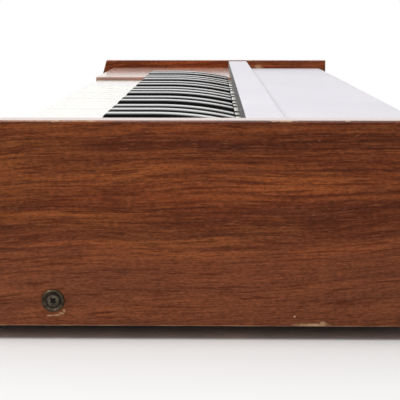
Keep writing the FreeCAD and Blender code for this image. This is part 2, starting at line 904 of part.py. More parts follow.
def make_key_frame():
    deck_x = ("keys_left", "keys_right")
    channel = prism(
        "frame_channel",
        [
            ("deck_front", "base_top"),
            ("deck_front + sheet", "base_top"),
            ("deck_front + sheet", "deck_top - sheet"),
            ("deck_rear - sheet", "deck_top - sheet"),
            ("deck_rear - sheet", "base_top"),
            ("deck_rear", "base_top"),
            ("deck_rear", "deck_top"),
            ("deck_front", "deck_top"),
        ],
        deck_x,
    )
    rail_y = ("pivot_y - rail_depth / 2", "pivot_y + rail_depth / 2")
    pieces = [channel, box("fulcrum_rail", deck_x, rail_y, ("deck_top", "pivot_z - rod_radius"))]
    for name, middle, is_black in key_centres:
        tongue_y = "black_front + black_tongue_inset" if is_black else "deck_front + white_tongue_inset"
        height = "black_tongue_height" if is_black else "white_tongue_height"
        x_span = (f"{middle} - tongue_width / 2", f"{middle} + tongue_width / 2")
        y_span = (tongue_y, f"{tongue_y} + sheet")
        pieces.append(box(name + "_tongue", x_span, y_span, ("deck_top", f"deck_top + {height}")))
    rod_length = "keys_right - keys_left"
    rod = cylinder("pivot_rod", "x", "rod_radius", rod_length, "keys_left", "pivot_y", "pivot_z")
    felt_y = ("deck_front + felt_inset", "deck_front + felt_inset + felt_depth")
    felt = box("stop_felt", deck_x, felt_y, ("deck_top", "deck_top + felt_height"))
    return group("key_frame", [fuse("frame_pressing", pieces), rod, felt])


key_frame = make_key_frame()


def make_key_springs():
    """A comb of leaves that rise behind the key tails and bend forward over them."""
    back = "(tail_rear + spring_back_gap)"
    strip_y = (back, f"{back} + spring_foot")
    strip_z = ("deck_top", "deck_top + spring_sheet")
    pieces = [box("spring_strip", ("keys_left", "keys_right"), strip_y, strip_z)]
    low = "(hidden_top + spring_clearance)"
    high = f"{low} + spring_sheet"
    for name, middle, _ in key_centres:
        x_span = (f"{middle} - spring_width / 2", f"{middle} + spring_width / 2")
        pieces.append(box(name + "_leaf", x_span, (back, f"{back} + spring_sheet"), ("deck_top", high)))
        pieces.append(box(name + "_leaf_arm", x_span, ("tail_rear - spring_reach", back), (low, high)))
    return fuse("key_springs", pieces)


key_springs = make_key_springs()


# Controls, built flat with their own middle at the origin


def make_knob(name, slot):
    body = doc.addObject("PartDesign::Body", name)
    profile = outline(
        body,
        name + "_profile",
        "XZ_Plane",
        [
            ("0", "0 - shaft_length"),
            ("shaft_radius", "0 - shaft_length"),
            ("shaft_radius", "panel_gap"),
            ("knob_radius", "panel_gap"),
            ("knob_radius", "panel_gap + knob_height"),
            ("0", "panel_gap + knob_height"),
        ],
    )
    turned = body.newObject("PartDesign::Revolution", name + "_turned")
    turned.Profile = profile
    turned.ReferenceAxis = (profile, ["V_Axis"])
    turned.Angle = 360
    doc.recompute()
    rim = "(knob_radius + flute_offset)"
    half = "flute_radius / 2"
    flute = body.newObject("PartDesign::Pocket", name + "_flute")
    flute.Profile = outline(
        body,
        name + "_flute_outline",
        "XY_Plane",
        [(f"{rim} - flute_radius", "0"), (rim, f"0 - {half}"), (rim, half)],
        "panel_gap + knob_height",
    )
    bind(flute, {"Length": "knob_height"})
    doc.recompute()
    flutes = body.newObject("PartDesign::PolarPattern", name + "_flutes")
    flutes.Originals = [flute]
    flutes.Axis = ([axis for axis in body.Origin.OriginFeatures if axis.Role == "Z_Axis"][0], [""])
    flutes.Angle = 360
    flutes.Occurrences = FLUTES
    body.Tip = flutes
    doc.recompute()
    start = f"{POINTER_START_SHARE} * knob_radius"
    pointer = body.newObject("PartDesign::Pocket", name + "_pointer")
    pointer.Profile = outline(
        body,
        name + "_pointer_outline",
        "XY_Plane",
        [
            ("0 - pointer_width / 2", start),
            ("pointer_width / 2", start),
            ("pointer_width / 2", "knob_radius"),
            ("0 - pointer_width / 2", "knob_radius"),
        ],
        "panel_gap + knob_height",
    )
    bind(pointer, {"Length": "pointer_depth"})
    return place(stand_on_panel(body), control_x(slot), "control_y", "control_height")


def make_slider(name, slot):
    low = "panel_gap"
    high = "panel_gap + slider_cap_height"
    half = "slider_cap_length / 2"
    saddle = f"{SADDLE_SHARE} * {half}"
    cap = prism(
        name + "_cap",
        [
            (f"0 - {half}", low),
            (half, low),
            (half, high),
            (saddle, f"{high} - slider_saddle"),
            (f"0 - {saddle}", f"{high} - slider_saddle"),
            (f"0 - {half}", high),
        ],
        ("0 - slider_cap_width / 2", "slider_cap_width / 2"),
    )
    stem = box(
        name + "_stem",
        ("0 - stem_width / 2", "stem_width / 2"),
        ("0 - stem_length / 2", "stem_length / 2"),
        ("0 - stem_reach", low),
    )
    return place(stand_on_panel(fuse(name, [cap, stem])), control_x(slot), "control_y", "control_height")


def make_rocker(name, slot):
    x_span = ("0 - rocker_width / 2", "rocker_width / 2")
    paddle = prism(
        name + "_paddle",
        [
            ("0 - rocker_radius", "0 - rocker_depth"),
            ("rocker_radius", "0 - rocker_depth"),
            ("rocker_radius", "rocker_end_rise"),
            ("0", "rocker_mid_rise"),
            ("0 - rocker_radius", "rocker_end_rise"),
        ],
        x_span,
    )
    pivot = "0 - rocker_pivot_depth"
    sweep = cylinder(name + "_sweep", "x", "rocker_radius", "rocker_width", x_span[0], 0, pivot)
    item = doc.addObject("Part::Common", name)
    item.Base = paddle
    item.Tool = sweep
    return place(stand_on_panel(item), control_x(slot), "control_y", "control_height")


MAKERS = {"knob": make_knob, "slider": make_slider, "rocker": make_rocker}
controls = {name: MAKERS[kind](name, slot) for slot, (name, kind) in enumerate(CONTROLS)}


# Boards


def pot_parts(name, middle):
    """A rotary potentiometer with the bore that takes the knob's shaft."""
    side = "pot_width / 2"
    x_span = (f"{middle} - {side}", f"{middle} + {side}")
    pot = box(name + "_pot", x_span, (f"0 - {side}", side), ("0 - control_board_depth", "0 - sheet"))
    radius = "shaft_radius + shaft_clearance"
    length = "shaft_length + panel_gap"
    bore = cylinder(name + "_bore", "z", radius, length, middle, 0, f"0 - ({length})")
    return [pot], [bore]


def slide_parts(name, middle):
    half_width = "slide_pot_width / 2"
    half_length = "(slider_travel / 2 + stem_length / 2 + slide_pot_margin)"
    top = "0 - sheet - fit_gap"
    case = box(
        name + "_case",
        (f"{middle} - {half_width}", f"{middle} + {half_width}"),
        (f"0 - {half_length}", half_length),
        ("0 - control_board_depth", top),
    )
    track = control_opening(name + "_track", "slider", middle, ("0 - stem_reach - stem_clearance", top))
    return [case], [track]


def rocker_parts(name, middle):
    half, reach = OPENINGS["rocker"]
    top = "0 - sheet - fit_gap"
    case = box(
        name + "_case",
        (f"{middle} - {half} - switch_box_wall", f"{middle} + {half} + switch_box_wall"),
        (f"0 - {reach} - switch_box_wall", f"{reach} + switch_box_wall"),
        ("0 - control_board_depth", top),
    )
    floor = "0 - rocker_pivot_depth - rocker_radius - rocker_clearance"
    return [case], [control_opening(name + "_room", "rocker", middle, (floor, top))]


def make_circuit_boards():
    parts_of = {"knob": pot_parts, "slider": slide_parts, "rocker": rocker_parts}
    last = control_x(len(CONTROLS) - 1)
    board = box(
        "control_board",
        (f"{control_x(0)} - control_board_overhang", f"{last} + control_board_overhang"),
        ("0 - control_board_height / 2", "control_board_height / 2"),
        ("0 - control_board_depth - board_thickness", "0 - control_board_depth"),
    )
    solids = [board]
    hollows = []
    for slot, (name, kind) in enumerate(CONTROLS):
        added, removed = parts_of[kind](name, control_x(slot))
        solids += added
        hollows += removed
    control_board = cut("control_board_assembly", fuse("control_board_solid", solids), hollows)
    place(stand_on_panel(control_board), 0, "control_y", "control_height")
    return group("circuit_boards", [control_board, make_main_board(), make_contact_board()])


def make_main_board():
    right = "keys_right - main_board_right_inset"
    rear = "half_depth - main_board_rear_inset"
    left = f"{right} - main_board_length"
    front = f"{rear} - main_board_width"
    low = "(base_top + standoff_height)"
    high = f"({low} + board_thickness)"
    solids = [box("main_board", (left, right), (front, rear), (low, high))]
    for i, x in enumerate((f"{left} + standoff_inset", f"{right} - standoff_inset")):
        for j, y in enumerate((f"{front} + standoff_inset", f"{rear} - standoff_inset")):
            x_span = (f"{x} - standoff_width / 2", f"{x} + standoff_width / 2")
            y_span = (f"{y} - standoff_width / 2", f"{y} + standoff_width / 2")
            solids.append(box(f"standoff_{i}_{j}", x_span, y_span, ("base_top", low)))
    for row in range(CHIP_ROWS):
        for column in range(CHIP_COLUMNS):
            x = f"({left} + standoff_inset + chip_length + {column} * chip_pitch)"
            y = f"({front} + chip_row_pitch + {row} * chip_row_pitch)"
            x_span = (x, f"{x} + chip_length")
            y_span = (y, f"{y} + chip_width")
            solids.append(box(f"chip_{row}_{column}", x_span, y_span, (high, f"{high} + chip_height")))
    for i in range(CAPACITORS):
        x = f"({right} - standoff_inset - standoff_width - capacitor_length)"
        y = f"({rear} - chip_row_pitch - {i} * capacitor_pitch)"
        x_span = (x, f"{x} + capacitor_length")
        y_span = (y, f"{y} + capacitor_width")
        solids.append(box(f"capacitor_{i}", x_span, y_span, (high, f"{high} + capacitor_height")))
    return fuse("main_board_assembly", solids)


def make_contact_board():
    front = "(white_front + contact_board_inset)"
    x_span = ("keys_left", "keys_right")
    top = "deck_top + board_thickness"
    board = box("contact_board", x_span, (front, f"{front} + contact_board_width"), ("deck_top", top))
    middle = f"({front} + contact_board_width / 2)"
    strip_y = (f"{middle} - contact_strip_width / 2", f"{middle} + contact_strip_width / 2")
    strip = box("contact_strip", x_span, strip_y, (top, f"{top} + contact_strip_height"))
    return fuse("contact_board_assembly", [board, strip])


circuit_boards = make_circuit_boards()


# Transformer


def make_power_transformer():
    x = "(transformer_end_inset - inner_half)"
    y = "(half_depth - transformer_rear_inset)"
    floor = "base_top"
    core = box(
        "transformer_core",
        (f"{x} - core_length / 2", f"{x} + core_length / 2"),
        (f"{y} - core_width / 2", f"{y} + core_width / 2"),
        (floor, f"{floor} + core_height"),
    )
    coil_z = f"({floor} + (core_height - coil_height) / 2)"
    coil = box(
        "transformer_coil",
        (f"{x} - coil_length / 2", f"{x} + coil_length / 2"),
        (f"{y} - coil_width / 2", f"{y} + coil_width / 2"),
        (coil_z, f"{coil_z} + coil_height"),
    )
    ears = box(
        "transformer_ears",
        (f"{x} - core_length / 2 - ear_reach", f"{x} + core_length / 2 + ear_reach"),
        (f"{y} - core_width / 2", f"{y} + core_width / 2"),
        (floor, f"{floor} + ear_thickness"),
    )
    return fuse("power_transformer", [core, coil, ears])


power_transformer = make_power_transformer()


# Rubber feet


def make_rubber_feet():
    feet = []
    for side in (-1, 1):
        for row, y in (("front", "front_foot_inset - half_depth"), ("rear", "half_depth - rear_foot_inset")):
            x = f"({side} * (inner_half - foot_end_inset))"
            name = f"foot_{row}_{'left' if side < 0 else 'right'}"
            feet.append(cylinder(name, "z", "foot_radius", "foot_height", x, y, 0))
    return group("rubber_feet", feet)


rubber_feet = make_rubber_feet()


# Cheek screws with their cup washers


def cheek_fastener(name, side, y, z):
    """A screw whose head stands on a cup washer, drawn along X from the cheek's outer face."""
    cup = cylinder(name + "_cup", "x", "cup_radius", "cup_height")
    head = cylinder(name + "_head", "x", "screw_head_radius", "screw_head_height", "cup_height")
    shank = cylinder(name + "_shank", "x", "screw_radius", "screw_length", "0 - screw_length")
    fastener = fuse(name, [cup, head, shank])
    if side < 0:
        about_face = FreeCAD.Rotation(FreeCAD.Vector(0, 0, 1), 180)
        fastener.Placement = FreeCAD.Placement(FreeCAD.Vector(), about_face)
    return place(fastener, f"{side} * outer_half", y, z)


def make_cheek_fasteners():
    pairs = []
    for side in (-1, 1):
        for i, (y, z) in enumerate(screw_places()):
            pairs.append(cheek_fastener(f"fastener_{'left' if side < 0 else 'right'}_{i}", side, y, z))
    return group("cheek_fasteners", pairs)


cheek_fasteners = make_cheek_fasteners()


# Final checks and export

NODES = {
    "right_cheek": right_cheek,
    "left_cheek": left_cheek,
    "left_block": left_block,
    "base_plate": base_plate,
    "front_panel": front_panel,
    "top_cover": top_cover,
    "rear_panel": rear_panel,
    "jack_block": jack_block,
    "power_inlet": power_inlet,
    "key_frame": key_frame,
    "key_springs": key_springs,
    "circuit_boards": circuit_boards,
    "power_transformer": power_transformer,
    "rubber_feet": rubber_feet,
    "cheek_fasteners": cheek_fasteners,
    **controls,
    **keys,
}

doc.recompute()
for item in doc.Objects:
    if "Invalid" in item.State or "Error" in item.State:
        raise RuntimeError(f"{item.Label} did not build: {item.State}")

os.makedirs("parts", exist_ok=True)
for name, item in NODES.items():
    item.Label = name
    if item.Shape.isNull() or not item.Shape.isValid():
        raise RuntimeError(f"{name} is not a valid shape")
    item.Shape.exportStep(f"parts/{name}.step")

whole = Part.makeCompound([item.Shape for item in NODES.values()]).BoundBox
print(f"{len(NODES)} nodes, box {whole.XLength:.2f} x {whole.YLength:.2f} x {whole.ZLength:.2f} mm")
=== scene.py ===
import bmesh
import bpy
import math
from mathutils import Matrix, Vector


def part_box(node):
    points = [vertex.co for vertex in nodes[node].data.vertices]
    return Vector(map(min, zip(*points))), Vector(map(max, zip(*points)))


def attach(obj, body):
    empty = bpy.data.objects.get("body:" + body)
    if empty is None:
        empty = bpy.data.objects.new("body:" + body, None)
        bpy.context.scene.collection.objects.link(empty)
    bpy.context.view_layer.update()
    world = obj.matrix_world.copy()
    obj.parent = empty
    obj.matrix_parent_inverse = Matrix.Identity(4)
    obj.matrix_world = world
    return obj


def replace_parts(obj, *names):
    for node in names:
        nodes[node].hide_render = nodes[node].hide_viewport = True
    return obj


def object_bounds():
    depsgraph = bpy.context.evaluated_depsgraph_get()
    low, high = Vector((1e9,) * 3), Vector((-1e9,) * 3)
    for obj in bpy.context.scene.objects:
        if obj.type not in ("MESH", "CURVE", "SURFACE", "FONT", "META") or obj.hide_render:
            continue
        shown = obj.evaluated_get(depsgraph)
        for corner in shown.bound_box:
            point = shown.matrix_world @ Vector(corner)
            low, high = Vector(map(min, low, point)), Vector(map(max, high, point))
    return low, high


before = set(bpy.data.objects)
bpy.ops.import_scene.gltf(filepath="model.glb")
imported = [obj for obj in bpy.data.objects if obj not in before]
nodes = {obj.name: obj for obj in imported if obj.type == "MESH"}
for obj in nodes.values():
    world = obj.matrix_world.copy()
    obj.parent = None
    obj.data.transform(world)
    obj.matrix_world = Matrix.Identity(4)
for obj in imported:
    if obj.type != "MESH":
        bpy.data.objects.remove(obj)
cad_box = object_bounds()
MM = 0.001


# Node materials

# Specular tint of a surface that shines only where it is seen at a low angle
NO_TINT = (0.04, 0.04, 0.04, 1.0)


class Paint:
    """One node material, built from short calls. Coordinates are the object's own, in metres."""

    def __init__(self, name, **surface):
        self.material = bpy.data.materials.new(name)
        self.material.use_nodes = True
        self.tree = self.material.node_tree
        self.tree.nodes.clear()
        self.output = self.tree.nodes.new("ShaderNodeOutputMaterial")
        self.shader = self.tree.nodes.new("ShaderNodeBsdfPrincipled")
        self.link(self.shader.outputs["BSDF"], self.output.inputs["Surface"])
        self.place = self.tree.nodes.new("ShaderNodeTexCoord").outputs["Object"]
        self.axes = self.node("ShaderNodeSeparateXYZ", self.place)
        for socket, value in surface.items():
            self.shader.inputs[socket.replace("_", " ")].default_value = value

    def link(self, source, target):
        self.tree.links.new(source, target)

    def feed(self, socket, value):
        if isinstance(value, bpy.types.NodeSocket):
            self.link(value, socket)
        else:
            socket.default_value = value

    def node(self, kind, *values, **settings):
        item = self.tree.nodes.new(kind)
        for name, value in settings.items():
            setattr(item, name, value)
        for socket, value in zip(item.inputs, values):
            if value is not None:
                self.feed(socket, value)
        return item

    def math(self, operation, a, b=0.0):
        return self.node("ShaderNodeMath", a, b, operation=operation).outputs[0]

    def scaled(self, scale, place=None):
        item = self.node("ShaderNodeMapping", place or self.place)
        item.inputs["Scale"].default_value = scale
        return item.outputs[0]

    def noise(self, scale, detail=2.0, roughness=0.5, place=None):
        """Noise from 0 to 1, with its repeats per metre along each axis."""
        item = self.node("ShaderNodeTexNoise")
        self.link(self.scaled(scale, place), item.inputs["Vector"])
        item.inputs["Scale"].default_value = 1.0
        item.inputs["Detail"].default_value = detail
        item.inputs["Roughness"].default_value = roughness
        return item.outputs[0]

    def ramp(self, value, low, high, start=0.0, end=1.0):
        """From start to end as the value goes from low to high, and level beyond."""
        item = self.node("ShaderNodeMapRange")
        for socket, number in zip(item.inputs, (value, low, high, start, end)):
            self.feed(socket, number)
        return item.outputs[0]

    def colours(self, value, *stops):
        """The colour at a value from 0 to 1, from stops of (position, colour)."""
        item = self.node("ShaderNodeValToRGB", value)
        band = item.color_ramp
        while len(band.elements) < len(stops):
            band.elements.new(0.5)
        for element, (position, colour) in zip(band.elements, stops):
            element.position = position
            element.color = (*colour, 1.0)
        return item.outputs[0]

    def mix(self, share, a, b, blend="MIX"):
        """Blends two colours. Inputs 6 and 7 and output 2 are the mix node's colour sockets."""
        item = self.tree.nodes.new("ShaderNodeMix")
        item.data_type = "RGBA"
        item.blend_type = blend
        self.feed(item.inputs[0], share)
        for socket, value in ((item.inputs[6], a), (item.inputs[7], b)):
            self.feed(socket, (*value, 1.0) if isinstance(value, tuple) else value)
        return item.outputs[2]

    def shaded(self, colour, factor):
        """A colour times a factor."""
        tone = self.node("ShaderNodeCombineColor", factor, factor, factor).outputs[0]
        return self.mix(1.0, colour, tone, "MULTIPLY")

    def bump(self, height, strength, distance):
        item = self.node("ShaderNodeBump")
        item.inputs["Strength"].default_value = strength
        item.inputs["Distance"].default_value = distance
        self.link(height, item.inputs["Height"])
        self.link(item.outputs["Normal"], self.shader.inputs["Normal"])

    def upward(self, low, high, start=0.0, end=1.0):
        """From start to end as the surface turns from standing to lying flat, face up."""
        normal = self.tree.nodes.new("ShaderNodeTexCoord").outputs["Normal"]
        return self.ramp(self.node("ShaderNodeSeparateXYZ", normal).outputs[2], low, high, start, end)

    def set(self, **sockets):
        """Feeds the shader's sockets and gives the finished material."""
        for name, value in sockets.items():
            self.feed(self.shader.inputs[name.replace("_", " ")], value)
        return self.material


def srgb(red, green, blue):
    """A colour written as in a picture, 0 to 255, turned into the linear values that shaders take."""
    shares = [value / 255 for value in (red, green, blue)]
    return tuple(s / 12.92 if s <= 0.04045 else ((s + 0.055) / 1.055) ** 2.4 for s in shares)


# Veneer

# Tints by the grain's value, written as in a picture before they are lifted
GRAIN_TINTS = (
    (0.30, (62, 28, 14)),
    (0.42, (86, 42, 22)),
    (0.52, (105, 54, 29)),
    (0.62, (121, 64, 33)),
    (0.74, (140, 78, 40)),
)
# Repeats per metre across and along the grain, detail, roughness, the values between which the
# layer sets in, its greatest share and its tint
BROAD_LAYERS = (
    (52, 9, 2.0, 0.5, 0.50, 0.68, 0.35, (118, 56, 28)),
    (38, 6, 2.0, 0.6, 0.56, 0.70, 0.45, (128, 74, 36)),
    (95, 14, 2.0, 0.5, 0.56, 0.68, 0.45, (84, 45, 34)),
    (260, 3.2, 3.0, 0.6, 0.55, 0.63, 0.75, (64, 30, 18)),
    (1300, 16, 2.0, 0.5, 0.52, 0.64, 0.6, (70, 31, 16)),
)
# Painted light from the floor: the veneer grows paler and more even below this height and reaches its full
# share at the next
FLOOR_LIGHT_FROM = 0.07
FLOOR_LIGHT_FULL = 0.035
FLOOR_LIGHT_SHARE = 0.5
FLOOR_LIGHT_TINT = (119, 71, 47)
BARE_LIGHT = srgb(226, 186, 146)
BARE_DARK = srgb(176, 128, 92)
# Painted light: a pale tint mixed into faces by which way they turn, with one share for standing faces and
# one for faces lying flat
PAINTED_LIGHT_TINT = srgb(224, 200, 186)
# Painted reflection: faces lying flat, face up, are mixed towards this pale tint, which stands in for the
# white that their gloss mirrors
PAINTED_TOP_SHEEN = srgb(236, 190, 164)
PAINTED_TOP_SHEEN_SHARE = 0.4
# Worn line along a cheek's lower edge: full up to the first height over the edge, gone at the second
WORN_FULL = 0.0003
WORN_GONE = 0.0009


def near_spot(paint, centre, size, softness):
    """1 inside an ellipsoid about a point, fading to 0 outside, with a ragged edge."""
    item = paint.node("ShaderNodeMapping", paint.place)
    item.inputs["Location"].default_value = tuple(-c / s for c, s in zip(centre, size))
    item.inputs["Scale"].default_value = tuple(1 / s for s in size)
    distance = paint.node("ShaderNodeVectorMath", item.outputs[0], operation="LENGTH").outputs["Value"]
    ragged = paint.noise((900, 500, 900), 3.0, 0.6)
    distance = paint.math("ADD", distance, paint.ramp(ragged, 0.3, 0.7, -0.35, 0.35))
    return paint.ramp(distance, 1.0 + softness, 1.0 - softness)


def bent_place(paint, along, seed):
    """Coordinates shifted by the seed, drifting up and down, and leaning a little off the grain's axis."""
    shift = paint.node("ShaderNodeMapping", paint.place)
    shift.inputs["Location"].default_value = (seed * 0.37, seed * 0.61, seed * 0.23)
    place = shift.outputs[0]
    drift = paint.noise((6, 3.5, 9) if along == "y" else (3.5, 6, 9), 2.0, place=place)
    offset = paint.node("ShaderNodeCombineXYZ")
    paint.link(paint.ramp(drift, 0.25, 0.75, -0.008, 0.008), offset.inputs[2])
    slope = paint.node("ShaderNodeVectorMath", place, offset.outputs[0], operation="ADD").outputs[0]
    lean = paint.node("ShaderNodeMapping", slope)
    lean.inputs["Rotation"].default_value = (-0.055, 0, 0) if along == "y" else (0, 0.02, 0)
    return lean.outputs[0]


def worn_mask(paint, spots, softness, worn_low):
    """Where the wood is bare: at the spots, and in patches along the lower edge if its height is given."""
    bare = None
    for centre, size in spots:
        mask = near_spot(paint, centre, size, softness)
        bare = mask if bare is None else paint.math("MAXIMUM", bare, mask)
    if worn_low is not None:
        patches = paint.ramp(paint.noise((30, 55, 30), 4.0, 0.7), 0.42, 0.62, 0.15, 0.9)
        edge = paint.ramp(paint.axes.outputs[2], worn_low + WORN_GONE, worn_low + WORN_FULL)
        bare = paint.math("MAXIMUM", bare, paint.math("MULTIPLY", edge, patches))
    return bare


def wood(
    name, along, spots, seed, lift=1.27, worn_low=None,
    painted_light_top=0.0, painted_light_sides=0.0, softness=0.35, gloss=1.45,
):
    """Satin veneer: grain along one axis, short pores and flecks, and pale bare wood at the worn spots. It
    also has painted light: paler low down, paler faces by which way they turn, and a painted sheen on faces
    lying flat.
    """
    paint = Paint(name, Coat_Roughness=0.14, Coat_IOR=gloss, Specular_Tint=NO_TINT)
    place = bent_place(paint, along, seed)

    def lifted(tint):
        return srgb(*(t * lift for t in tint))

    def grain(fine, long, detail, roughness=0.5):
        scale = (fine, long, fine) if along == "y" else (long, fine, fine)
        return paint.noise(scale, detail, roughness, place)

    def tinted(colour, value, low, high, share, tint):
        return paint.mix(paint.ramp(value, low, high, 0.0, share), colour, lifted(tint))

    bands = grain(120, 5.5, 4.0, 0.6)
    colour = paint.colours(bands, *((at, lifted(tint)) for at, tint in GRAIN_TINTS))
    for fine, long, detail, roughness, *rest in BROAD_LAYERS:
        colour = tinted(colour, grain(fine, long, detail, roughness), *rest)
    clouds = paint.ramp(grain(30, 2.2, 1.0), 0.35, 0.65, 0.84, 1.18)
    colour = paint.shaded(colour, clouds)
    # Painted light: the veneer is paler and more even low down, where light from the floor falls
    lower = paint.ramp(paint.axes.outputs[2], FLOOR_LIGHT_FROM, FLOOR_LIGHT_FULL, 0.0, FLOOR_LIGHT_SHARE)
    colour = paint.mix(lower, colour, lifted(FLOOR_LIGHT_TINT))
    ripple = paint.ramp(grain(950, 380, 2.0, 0.7), 0.35, 0.65, 0.74, 1.26)
    colour = paint.shaded(colour, ripple)
    streaks = grain(700, 42, 2.0, 0.6)
    colour = tinted(colour, streaks, 0.53, 0.66, 0.65, (70, 30, 12))
    colour = tinted(colour, grain(800, 60, 2.0, 0.6), 0.56, 0.70, 0.45, (136, 80, 48))
    pores = grain(2100, 105, 2.0, 0.7)
    colour = tinted(colour, pores, 0.56, 0.66, 0.6, (56, 20, 8))
    colour = tinted(colour, grain(1900, 240, 1.0), 0.64, 0.74, 0.25, (158, 102, 72))
    veins = grain(300, 3.2, 3.0, 0.65)
    vein_line = paint.math("ABSOLUTE", paint.math("SUBTRACT", veins, 0.5))
    colour = tinted(colour, vein_line, 0.011, 0.0, 0.4, (62, 24, 10))
    rough = paint.ramp(streaks, 0.4, 0.65, 0.38, 0.5)
    height = paint.math("MULTIPLY", paint.ramp(pores, 0.52, 0.68), -0.7)
    height = paint.math("ADD", height, paint.math("MULTIPLY", streaks, -0.3))
    bare = worn_mask(paint, spots, softness, worn_low)
    if bare is not None:
        raw = paint.colours(pores, (0.35, BARE_LIGHT), (0.7, BARE_DARK))
        colour = paint.mix(paint.math("MULTIPLY", bare, 0.9), colour, raw)
        rough = paint.math("ADD", rough, paint.math("MULTIPLY", bare, 0.3))
        height = paint.math("SUBTRACT", height, paint.math("MULTIPLY", bare, 2.5))
    # Painted light: faces made paler by which way they turn
    if painted_light_top or painted_light_sides:
        colour = paint.mix(paint.upward(0.4, 0.9, painted_light_sides, painted_light_top), colour, PAINTED_LIGHT_TINT)
    # Painted reflection: a pale sheen mixed into faces lying flat, face up
    colour = paint.mix(paint.upward(0.8, 0.98, 0.0, PAINTED_TOP_SHEEN_SHARE), colour, PAINTED_TOP_SHEEN)
    paint.bump(height, 0.3, 0.0002)
    return paint.set(Base_Color=colour, Roughness=rough, Coat_Weight=paint.upward(0.4, 0.95, 0.12, 1.0))


# Camera, as the photograph was taken: at the treble end, looking along the keyboard

EYE = Vector((0.9253, 0.0141, 0.1795))
PITCH = math.radians(10.24)
YAW = math.radians(0.766)
LENS_MM = 92.79
SENSOR_MM = 36.0


def make_camera():
    data = bpy.data.cameras.new("camera")
    data.sensor_width = SENSOR_MM
    data.lens = LENS_MM
    data.clip_start = 0.01
    camera = bpy.data.objects.new("camera", data)
    level = Vector((-math.cos(YAW), -math.sin(YAW), 0))
    forward = level * math.cos(PITCH) - Vector((0, 0, 1)) * math.sin(PITCH)
    right = level.cross(Vector((0, 0, 1)))
    up = right.cross(forward)
    turn = Matrix((right, up, -forward)).transposed()
    camera.matrix_world = Matrix.Translation(EYE) @ turn.to_4x4()
    bpy.context.scene.collection.objects.link(camera)
    bpy.context.scene.camera = camera


# Light and floor

AMBIENT = 0.26
LAMP_COLOUR = (1.0, 0.99, 0.98)
# Name, place, target, width and depth in metres, and power in watts
LAMPS = (
    ("softbox_top", (-0.1, -0.05, 1.9), (-0.1, 0, 0.1), 2.0, 1.1, 15.0),
    ("softbox_front", (0.78, -1.32, 1.8), (0.3, -0.1, 0.06), 0.9, 0.8, 26.5),
)


def make_lamp(name, place, target, width, depth, power):
    data = bpy.data.lights.new(name, "AREA")
    data.shape = "RECTANGLE"
    data.size = width
    data.size_y = depth
    data.energy = power
    data.color = LAMP_COLOUR
    lamp = bpy.data.objects.new(name, data)
    lamp.location = place
    lamp.rotation_euler = (Vector(target) - Vector(place)).to_track_quat("-Z", "Y").to_euler()
    bpy.context.scene.collection.objects.link(lamp)


def seen_rays(tree):
    """1 for rays that see the background: straight from the camera, mirrored, or through glass."""
    path = tree.nodes.new("ShaderNodeLightPath")
    joined = path.outputs["Is Camera Ray"]
    for kind in ("Is Glossy Ray", "Is Transmission Ray"):
        either = tree.nodes.new("ShaderNodeMath")
        either.operation = "MAXIMUM"
        tree.links.new(joined, either.inputs[0])
        tree.links.new(path.outputs[kind], either.inputs[1])
        joined = either.outputs[0]
    return joined


def make_world():
    world = bpy.data.worlds.new("studio")
    bpy.context.scene.world = world
    world.use_nodes = True
    tree = world.node_tree
    tree.nodes.clear()
    ambient = tree.nodes.new("ShaderNodeBackground")
    ambient.inputs["Color"].default_value = (0.94, 0.96, 1.0, 1.0)
    ambient.inputs["Strength"].default_value = AMBIENT
    white = tree.nodes.new("ShaderNodeBackground")
    white.inputs["Color"].default_value = (1.0, 1.0, 1.0, 1.0)
    blend = tree.nodes.new("ShaderNodeMixShader")
    tree.links.new(seen_rays(tree), blend.inputs[0])
    tree.links.new(ambient.outputs[0], blend.inputs[1])
    tree.links.new(white.outputs[0], blend.inputs[2])
    output = tree.nodes.new("ShaderNodeOutputWorld")
    tree.links.new(blend.outputs[0], output.inputs["Surface"])


FLOOR_HALF = 8.0
# Share of plain white on the floor by the distance from the object's box: from, to, and what it adds
WHITE_RIM = (0.0, 0.014, 0.0, 0.3)
WHITE_REACH = (0.014, 0.2, 0.0, 0.7)


def make_floor():
    """Pale paper that keeps the shadow near the object and turns white farther out.

    From below it can be looked through, so that the underside shows.
    """
    mesh = bpy.data.meshes.new("floor")
    corners = [(-1, -1), (1, -1), (1, 1), (-1, 1)]
    mesh.from_pydata([(x * FLOOR_HALF, y * FLOOR_HALF, 0) for x, y in corners], [], [(0, 1, 2, 3)])
    floor = bpy.data.objects.new("floor", mesh)
    bpy.context.scene.collection.objects.link(floor)
    paint = Paint("pale_floor", Roughness=0.9, Specular_IOR_Level=0.0)
    cloud = paint.noise((3, 3, 3), 2.0)
    paint.set(Base_Color=paint.mix(cloud, srgb(243, 242, 241), srgb(247, 246, 245)))
    outside = []
    for axis in (0, 1):
        half = (cad_box[1][axis] - cad_box[0][axis]) / 2
        away = paint.math("SUBTRACT", paint.math("ABSOLUTE", paint.axes.outputs[axis]), half)
        outside.append(paint.math("MAXIMUM", away, 0.0))
    apart = paint.node("ShaderNodeCombineXYZ", *outside).outputs[0]
    apart = paint.node("ShaderNodeVectorMath", apart, operation="LENGTH").outputs["Value"]
    rays = seen_rays(paint.tree)
    glow = paint.node("ShaderNodeEmission")
    blend = paint.node("ShaderNodeMixShader")
    share = paint.math("ADD", paint.ramp(apart, *WHITE_RIM), paint.ramp(apart, *WHITE_REACH))
    paint.link(paint.math("MULTIPLY", rays, share), blend.inputs[0])
    paint.link(paint.shader.outputs["BSDF"], blend.inputs[1])
    paint.link(glow.outputs[0], blend.inputs[2])
    below = paint.node("ShaderNodeMixShader", paint.node("ShaderNodeNewGeometry").outputs["Backfacing"])
    paint.link(blend.outputs[0], below.inputs[1])
    paint.link(paint.node("ShaderNodeBsdfTransparent").outputs[0], below.inputs[2])
    paint.link(below.outputs[0], paint.output.inputs["Surface"])
    mesh.materials.append(paint.material)


# Materials of the CAD nodes

